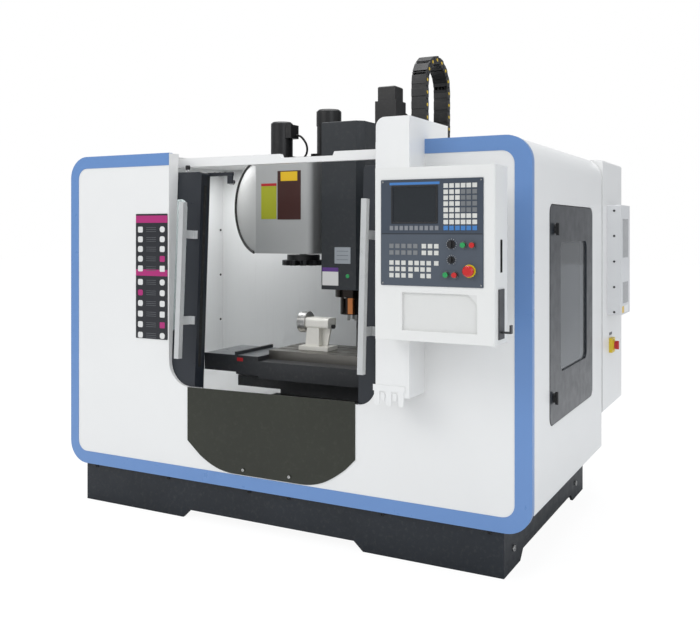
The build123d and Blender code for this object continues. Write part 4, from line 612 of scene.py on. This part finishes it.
# Sign on the left front panel: a dark field with two bands and rows of plain shapes
front_plate("front_sign", -0.749, -0.558, 0.820, 1.408, SHEET_Y, PLATE_T, plate_dark, ROOT, 0.003)
sign_rows = [1.334 - 0.046 * i for i in range(5)] + [1.086 - 0.050 * i for i in range(6)]
for i, z in enumerate(sign_rows):
    front_plate(
        "front_sign_mark_a%d" % i, -0.736, -0.706, z - 0.014, z + 0.014, SIGN_Y, MARK_T,
        sign_magenta if i == 6 else sign_white, ROOT, 0.006 + 0.0012 * (i % 4)
    )
    front_plate(
        "front_sign_mark_b%d" % i, -0.604, -0.574, z - 0.013, z + 0.015, SIGN_Y, MARK_T,
        sign_magenta if i in (3, 9) else sign_white, ROOT, 0.012 - 0.0022 * (i % 5)
    )
    for line in range(3):
        front_plate(
            "front_sign_line_%d_%d" % (i, line), -0.686, -0.626, z + 0.008 - 0.009 * line,
            z + 0.0105 - 0.009 * line, SIGN_Y, MARK_T, sign_grey, ROOT, 0.001
        )

# Signs in the work space: magazine cover, head, table guard
front_plate("magazine_sign_olive", -0.405, -0.312, 1.388, 1.556, COVER_Y, PLATE_T, sign_olive, MAGAZINE)
front_plate(
    "magazine_sign_head", -0.405, -0.312, 1.5565, 1.570, COVER_Y, PLATE_T, sign_red, MAGAZINE, 0.001
)
front_plate("magazine_sign_brown", -0.306, -0.168, 1.385, 1.632, COVER_Y, PLATE_T, sign_brown, MAGAZINE)
front_plate(
    "magazine_sign_yellow", -0.287, -0.188, 1.580, 1.627, COVER_FIELD_Y, 0.0003, sign_yellow, MAGAZINE
)
front_plate("head_sign_grey", 0.028, 0.116, 1.168, 1.248, HEAD_Y, PLATE_T, sign_silver, HEAD)
for i in range(3):
    front_plate(
        "head_sign_line_%d" % i, 0.040, 0.104, 1.186 + 0.021 * i, 1.188 + 0.021 * i, HEAD_FIELD_Y, MARK_T,
        sign_grey, HEAD, 0.0008
    )
front_plate("head_sign_white", -0.041, 0.049, 1.060, 1.148, HEAD_Y, PLATE_T, sign_white, HEAD)
front_plate("head_sign_purple", -0.041, 0.049, 1.128, 1.148, HEAD_FIELD_Y, MARK_T, sign_purple, HEAD)
turned(
    "head_dot", [(0.010, 0.0), (0.010, 0.0006)], (0.0995, HEAD_Y, 1.108), (0, -1, 0), green_plastic, HEAD,
    28
)
front_plate("guard_sign", -0.365, -0.330, 0.699, 0.716, GUARD_Y, 0.0005, sign_red, TABLE)

# Screws on the panels, the plinth, the apron and the wall behind the magazine
for i, x in enumerate((-1.022, -0.575, -0.120, 0.084, 0.538, 0.996)):
    screw("plinth_screw_%d" % i, (x, -0.6521, 0.170), (0, -1, 0), 0.017, dark_screw, ROOT)
for i, (y, z) in enumerate(((-0.538, 0.083), (0.486, 0.073))):
    screw("plinth_bolt_%d" % i, (1.0521, y, z), (1, 0, 0), 0.026, screw_steel, ROOT)
for i, (x, z) in enumerate(((-0.131, 0.2713), (0.108, 0.2722))):
    screw("apron_screw_%d" % i, (x, -0.6831, z), (0, -1, 0), 0.014, screw_steel, ROOT)

for i, z in enumerate((0.800, 1.066, 1.332)):
    screw("liner_screw_%d" % i, (-1.0309, 0.372, z), (1, 0, 0), 0.013, dark_screw, ROOT)
for i, z in enumerate((1.430, 1.302, 1.172, 1.042, 0.915)):
    screw("exchanger_screw_%d" % i, (1.206, 0.6719, z), (0, -1, 0), 0.011, dark_screw, ROOT)
for i, (x, z) in enumerate(((0.695, 1.507), (1.073, 1.507), (0.695, 1.138), (1.073, 1.138))):
    screw("panel_screw_%d" % i, (x, PANEL_Y, z), (0, -1, 0), 0.006, screw_steel, BOX)
for i in range(6):
    turn = math.radians(60 * i + 30)
    at = (SPINDLE_X + 0.073 * math.cos(turn), SPINDLE_Y + 0.073 * math.sin(turn), 1.0009)
    screw("flange_screw_%d" % i, at, (0, 0, -1), 0.013, screw_steel, HEAD)
for i in range(8):
    turn = math.radians(45 * i + 22.5)
    at = (CAROUSEL_X + 0.060 * math.cos(turn), CAROUSEL_Y + 0.060 * math.sin(turn), CAROUSEL_LOW_Z)
    screw("carousel_screw_%d" % i, at, (0, 0, -1), 0.010, screw_steel, CAROUSEL)
turned(
    "carousel_hub", [(0.030, 0.0), (0.030, 0.010), (0.024, 0.014)],
    (CAROUSEL_X, CAROUSEL_Y, CAROUSEL_LOW_Z), (0, 0, -1), motor_black, CAROUSEL
)

# Main switch: plain dark plates
side_plate("switch_plate_a", 0.730, 0.764, 0.788, 0.802, CABINET_X, PLATE_T, sign_grey, ROOT)
side_plate("switch_plate_b", 0.770, 0.796, 0.788, 0.802, CABINET_X, PLATE_T, sign_grey, ROOT)

# Rubber edge along the curved wing of the magazine cover
WING_CENTRE_X, WING_CENTRE_Z, WING_R = -0.399, 1.451, 0.241
WING_BEND_X, WING_BEND_Y = -0.438, -0.128
WING_SLOPE = 0.110 / 0.202
COVER_TOP_Z = 1.680
EDGE_STEPS = 40
wing_edge = []
for i in range(EDGE_STEPS + 1):
    turn = math.radians(99.5 + 161.0 * i / EDGE_STEPS)
    x = WING_CENTRE_X + WING_R * math.cos(turn)
    z = WING_CENTRE_Z + WING_R * math.sin(turn)
    y = WING_BEND_Y + (WING_BEND_X - x) * WING_SLOPE
    if x <= WING_BEND_X - 0.002:
        wing_edge.append((x, y - 0.0015, min(z, COVER_TOP_Z)))
tube("magazine_edge", wing_edge, 0.0075, rubber, MAGAZINE, resolution=3)

# Door seals, and the left door's hanger arm with its roller
LEAN = math.radians(3.0)
lean_up = (0, math.sin(LEAN), math.cos(LEAN))
strip = [(0, 0), (0.0012, 0), (0.0012, 0.84), (0, 0.84)]
for name, x, body in (("left_seal", -0.4149, LEFT), ("right_seal", 0.4287, RIGHT)):
    y = -0.661 + (0.700 - 0.611) * math.tan(LEAN) + 0.040
    prism(name, strip, (x, y, 0.700), (1, 0, 0), lean_up, 0.020, rubber, body)
slab("hanger_arm", (-0.447, -0.5405, 1.585), (-0.290, -0.5285, 1.602), door_paint, LEFT, 0.001)
slab("hanger_drop", (-0.320, -0.5400, 1.548), (-0.292, -0.5290, 1.5849), door_paint, LEFT, 0.001)
slab("hanger_pad", (-0.447, -0.5470, 1.575), (-0.420, -0.5406, 1.602), door_paint, LEFT)
turned(
    "hanger_roller", [(0.006, 0.0), (0.014, 0.001), (0.014, 0.014), (0.006, 0.015)],
    (-0.306, -0.5289, 1.556), (0, 1, 0), polished, LEFT, 28
)
for i, x in enumerate((-0.395, -0.365, -0.335)):
    screw("hanger_screw_%d" % i, (x, -0.5345, 1.6021), (0, 0, 1), 0.009, screw_steel, LEFT)
turned(
    "door_roller_pin", [(0.005, 0.0), (0.005, 0.0115)], (-0.500, -0.6035, 1.6035), (0, 0, 1), polished,
    LEFT, 20
)
turned(
    "door_roller", [(0.009, 0.0), (0.011, 0.002), (0.011, 0.018), (0.009, 0.020)],
    (-0.500, -0.6035, 1.6152), (0, 0, 1), rubber, LEFT, 28
)

# Cables: three through the chain, one at each motor
CHAIN_MID_Y, CHAIN_R, CHAIN_BEND_Z, CHAIN_FOOT_Z = 0.586, 0.157, 2.107, 1.805
chain_path = [(CHAIN_MID_Y - CHAIN_R, CHAIN_FOOT_Z), (CHAIN_MID_Y - CHAIN_R, CHAIN_BEND_Z)]
for i in range(1, 10):
    turn = math.pi * i / 10
    chain_path.append((CHAIN_MID_Y - CHAIN_R * math.cos(turn), CHAIN_BEND_Z + CHAIN_R * math.sin(turn)))
chain_path += [(CHAIN_MID_Y + CHAIN_R, CHAIN_BEND_Z), (CHAIN_MID_Y + CHAIN_R, CHAIN_FOOT_Z)]
for i, x in enumerate((0.219, 0.240, 0.261)):
    tube(
        "chain_cable_%d" % i, [(x, y, z) for y, z in chain_path], (0.008, 0.0065, 0.0075)[i], rubber,
        ROOT, resolution=4
    )
tube(
    "servo_cable",
    [(0.086, 0.5185, 1.985), (0.098, 0.555, 1.975), (0.150, 0.600, 1.900), (0.218, 0.600, 1.801)], 0.007,
    rubber, ROOT
)
tube(
    "magazine_cable",
    [(-0.2665, -0.010, 1.825), (-0.235, -0.006, 1.810), (-0.214, 0.012, 1.745), (-0.290, 0.046, 1.681)],
    0.0055, rubber, MAGAZINE
)
slab("slide_motor_box", (-0.1205, 0.165, 1.800), (-0.090, 0.215, 1.850), motor_black, ROOT, 0.003)
tube(
    "slide_motor_cable",
    [(-0.100, 0.2155, 1.825), (-0.100, 0.235, 1.815), (-0.095, 0.255, 1.760), (-0.090, 0.270, 1.7155)],
    0.0055, rubber, ROOT
)

# Operator panel: a bezel round the screen and ticks round the two selectors
for name, low, high in (
    ("bezel_top", (0.730, BEZEL_Y, 1.4875), (0.911, PANEL_Y, 1.4930)),
    ("bezel_low", (0.730, BEZEL_Y, 1.3550), (0.911, PANEL_Y, 1.3605)),
    ("bezel_left", (0.7295, BEZEL_Y, 1.3610), (0.7350, PANEL_Y, 1.4870)),
    ("bezel_right", (0.9060, BEZEL_Y, 1.3610), (0.9115, PANEL_Y, 1.4870)),
):
    slab(name, low, high, black_plastic, BOX, 0.0005)
for knob, (x, z, reach) in enumerate(((0.963, 1.281, 0.0185), (0.963, 1.226, 0.0165))):
    for i in range(13):
        turn = math.radians(-150 + 25 * i)
        out = Vector((math.sin(turn), 0, math.cos(turn)))
        across = Vector((math.cos(turn), 0, -math.sin(turn)))
        plate(
            "knob_tick_%d_%d" % (knob, i), Vector((x, TICK_Y, z)) + out * reach, across, out, 0.0012,
            0.0040, 0.0003, sign_white, BOX, 0.0004, 0.0
        )


# Camera, fitted to the photograph
camera = bpy.data.cameras.new("camera")
camera_object = bpy.data.objects.new("camera", camera)
bpy.context.scene.collection.objects.link(camera_object)
camera_object.location = (2.0755, -3.8431, 1.3310)
camera_object.rotation_euler = (math.radians(90), 0, math.radians(27.875))
camera.lens = 44.51
camera.sensor_width = 36.0
camera.shift_y = -0.1218
camera.clip_end = 100.0
bpy.context.scene.camera = camera_object

# Studio: a pale level floor under a white sky, one broad key light and a soft fill
floor_mesh = bpy.data.meshes.new("floor")
floor_mesh.from_pydata([(-30, -30, 0), (30, -30, 0), (30, 30, 0), (-30, 30, 0)], [], [(0, 1, 2, 3)])
floor = bpy.data.objects.new("floor", floor_mesh)
bpy.context.scene.collection.objects.link(floor)
floor_material, floor_tree = new_tree("floor_material")
floor_out = node(floor_tree, "ShaderNodeOutputMaterial")
floor_diffuse = node(floor_tree, "ShaderNodeBsdfDiffuse")
floor_diffuse.inputs[0].default_value = (0.80, 0.80, 0.80, 1)
floor_glow = node(floor_tree, "ShaderNodeEmission")
floor_glow.inputs[0].default_value = (1, 1, 1, 1)
floor_glow.inputs[1].default_value = 1.08
floor_mix = node(floor_tree, "ShaderNodeMixShader")
rays = node(floor_tree, "ShaderNodeLightPath")
seen = math_node(
    floor_tree, "ADD", rays.outputs["Is Camera Ray"], rays.outputs["Is Transmission Ray"], clamp=True
)
floor_tree.links.new(math_node(floor_tree, "MULTIPLY", seen, 0.86), floor_mix.inputs[0])
floor_tree.links.new(floor_diffuse.outputs[0], floor_mix.inputs[1])
floor_tree.links.new(floor_glow.outputs[0], floor_mix.inputs[2])
floor_tree.links.new(floor_mix.outputs[0], floor_out.inputs[0])
floor_mesh.materials.append(floor_material)

world = bpy.data.worlds.new("world")
bpy.context.scene.world = world
world.use_nodes = True
sky = world.node_tree
sky.nodes.clear()
sky_out = node(sky, "ShaderNodeOutputWorld")
backdrop = node(sky, "ShaderNodeBackground")
backdrop.inputs[0].default_value = (1, 1, 1, 1)
backdrop.inputs[1].default_value = 1.0
mirrored = node(sky, "ShaderNodeBackground")
mirrored.inputs[0].default_value = (0.95, 0.97, 1.0, 1)
mirrored.inputs[1].default_value = 0.42
ambient = node(sky, "ShaderNodeBackground")
ambient.inputs[0].default_value = (0.93, 0.96, 1.0, 1)
ambient.inputs[1].default_value = 0.74
sky_rays = node(sky, "ShaderNodeLightPath")
sky_seen = math_node(
    sky, "ADD", sky_rays.outputs["Is Camera Ray"], sky_rays.outputs["Is Transmission Ray"], clamp=True
)
sky_low = node(sky, "ShaderNodeMixShader")
sky.links.new(sky_rays.outputs["Is Glossy Ray"], sky_low.inputs[0])
sky.links.new(ambient.outputs[0], sky_low.inputs[1])
sky.links.new(mirrored.outputs[0], sky_low.inputs[2])
sky_mix = node(sky, "ShaderNodeMixShader")
sky.links.new(sky_seen, sky_mix.inputs[0])
sky.links.new(sky_low.outputs[0], sky_mix.inputs[1])
sky.links.new(backdrop.outputs[0], sky_mix.inputs[2])
sky.links.new(sky_mix.outputs[0], sky_out.inputs[0])


def area_light(name, place, target, width, height, power, colour=(1, 1, 1)):
    light = bpy.data.lights.new(name, "AREA")
    light.shape = "RECTANGLE"
    light.size = width
    light.size_y = height
    light.energy = power
    light.color = colour
    holder = bpy.data.objects.new(name, light)
    bpy.context.scene.collection.objects.link(holder)
    holder.location = place
    holder.rotation_euler = (Vector(target) - Vector(place)).to_track_quat("-Z", "Y").to_euler()
    return holder


area_light("key_light", (-2.4, -5.2, 4.6), (0.0, -0.4, 0.9), 3.6, 2.6, 92, (1.0, 0.985, 0.96))
area_light("fill_light", (4.8, -3.6, 2.8), (0.6, -0.2, 0.9), 3.0, 3.0, 40, (0.95, 0.97, 1.0))
area_light("top_light", (0.0, 0.2, 5.2), (0.0, 0.0, 1.0), 4.5, 3.5, 150)
area_light("back_light", (-3.5, 4.5, 3.6), (0.0, 0.4, 1.0), 3.0, 2.5, 55)
inner_light = area_light("inner_light", (-0.72, 0.02, 1.66), (-0.62, 0.10, 0.7), 0.45, 0.35, 3.2)
inner_light.visible_camera = False
bpy.context.scene.view_settings.view_transform = "Standard"
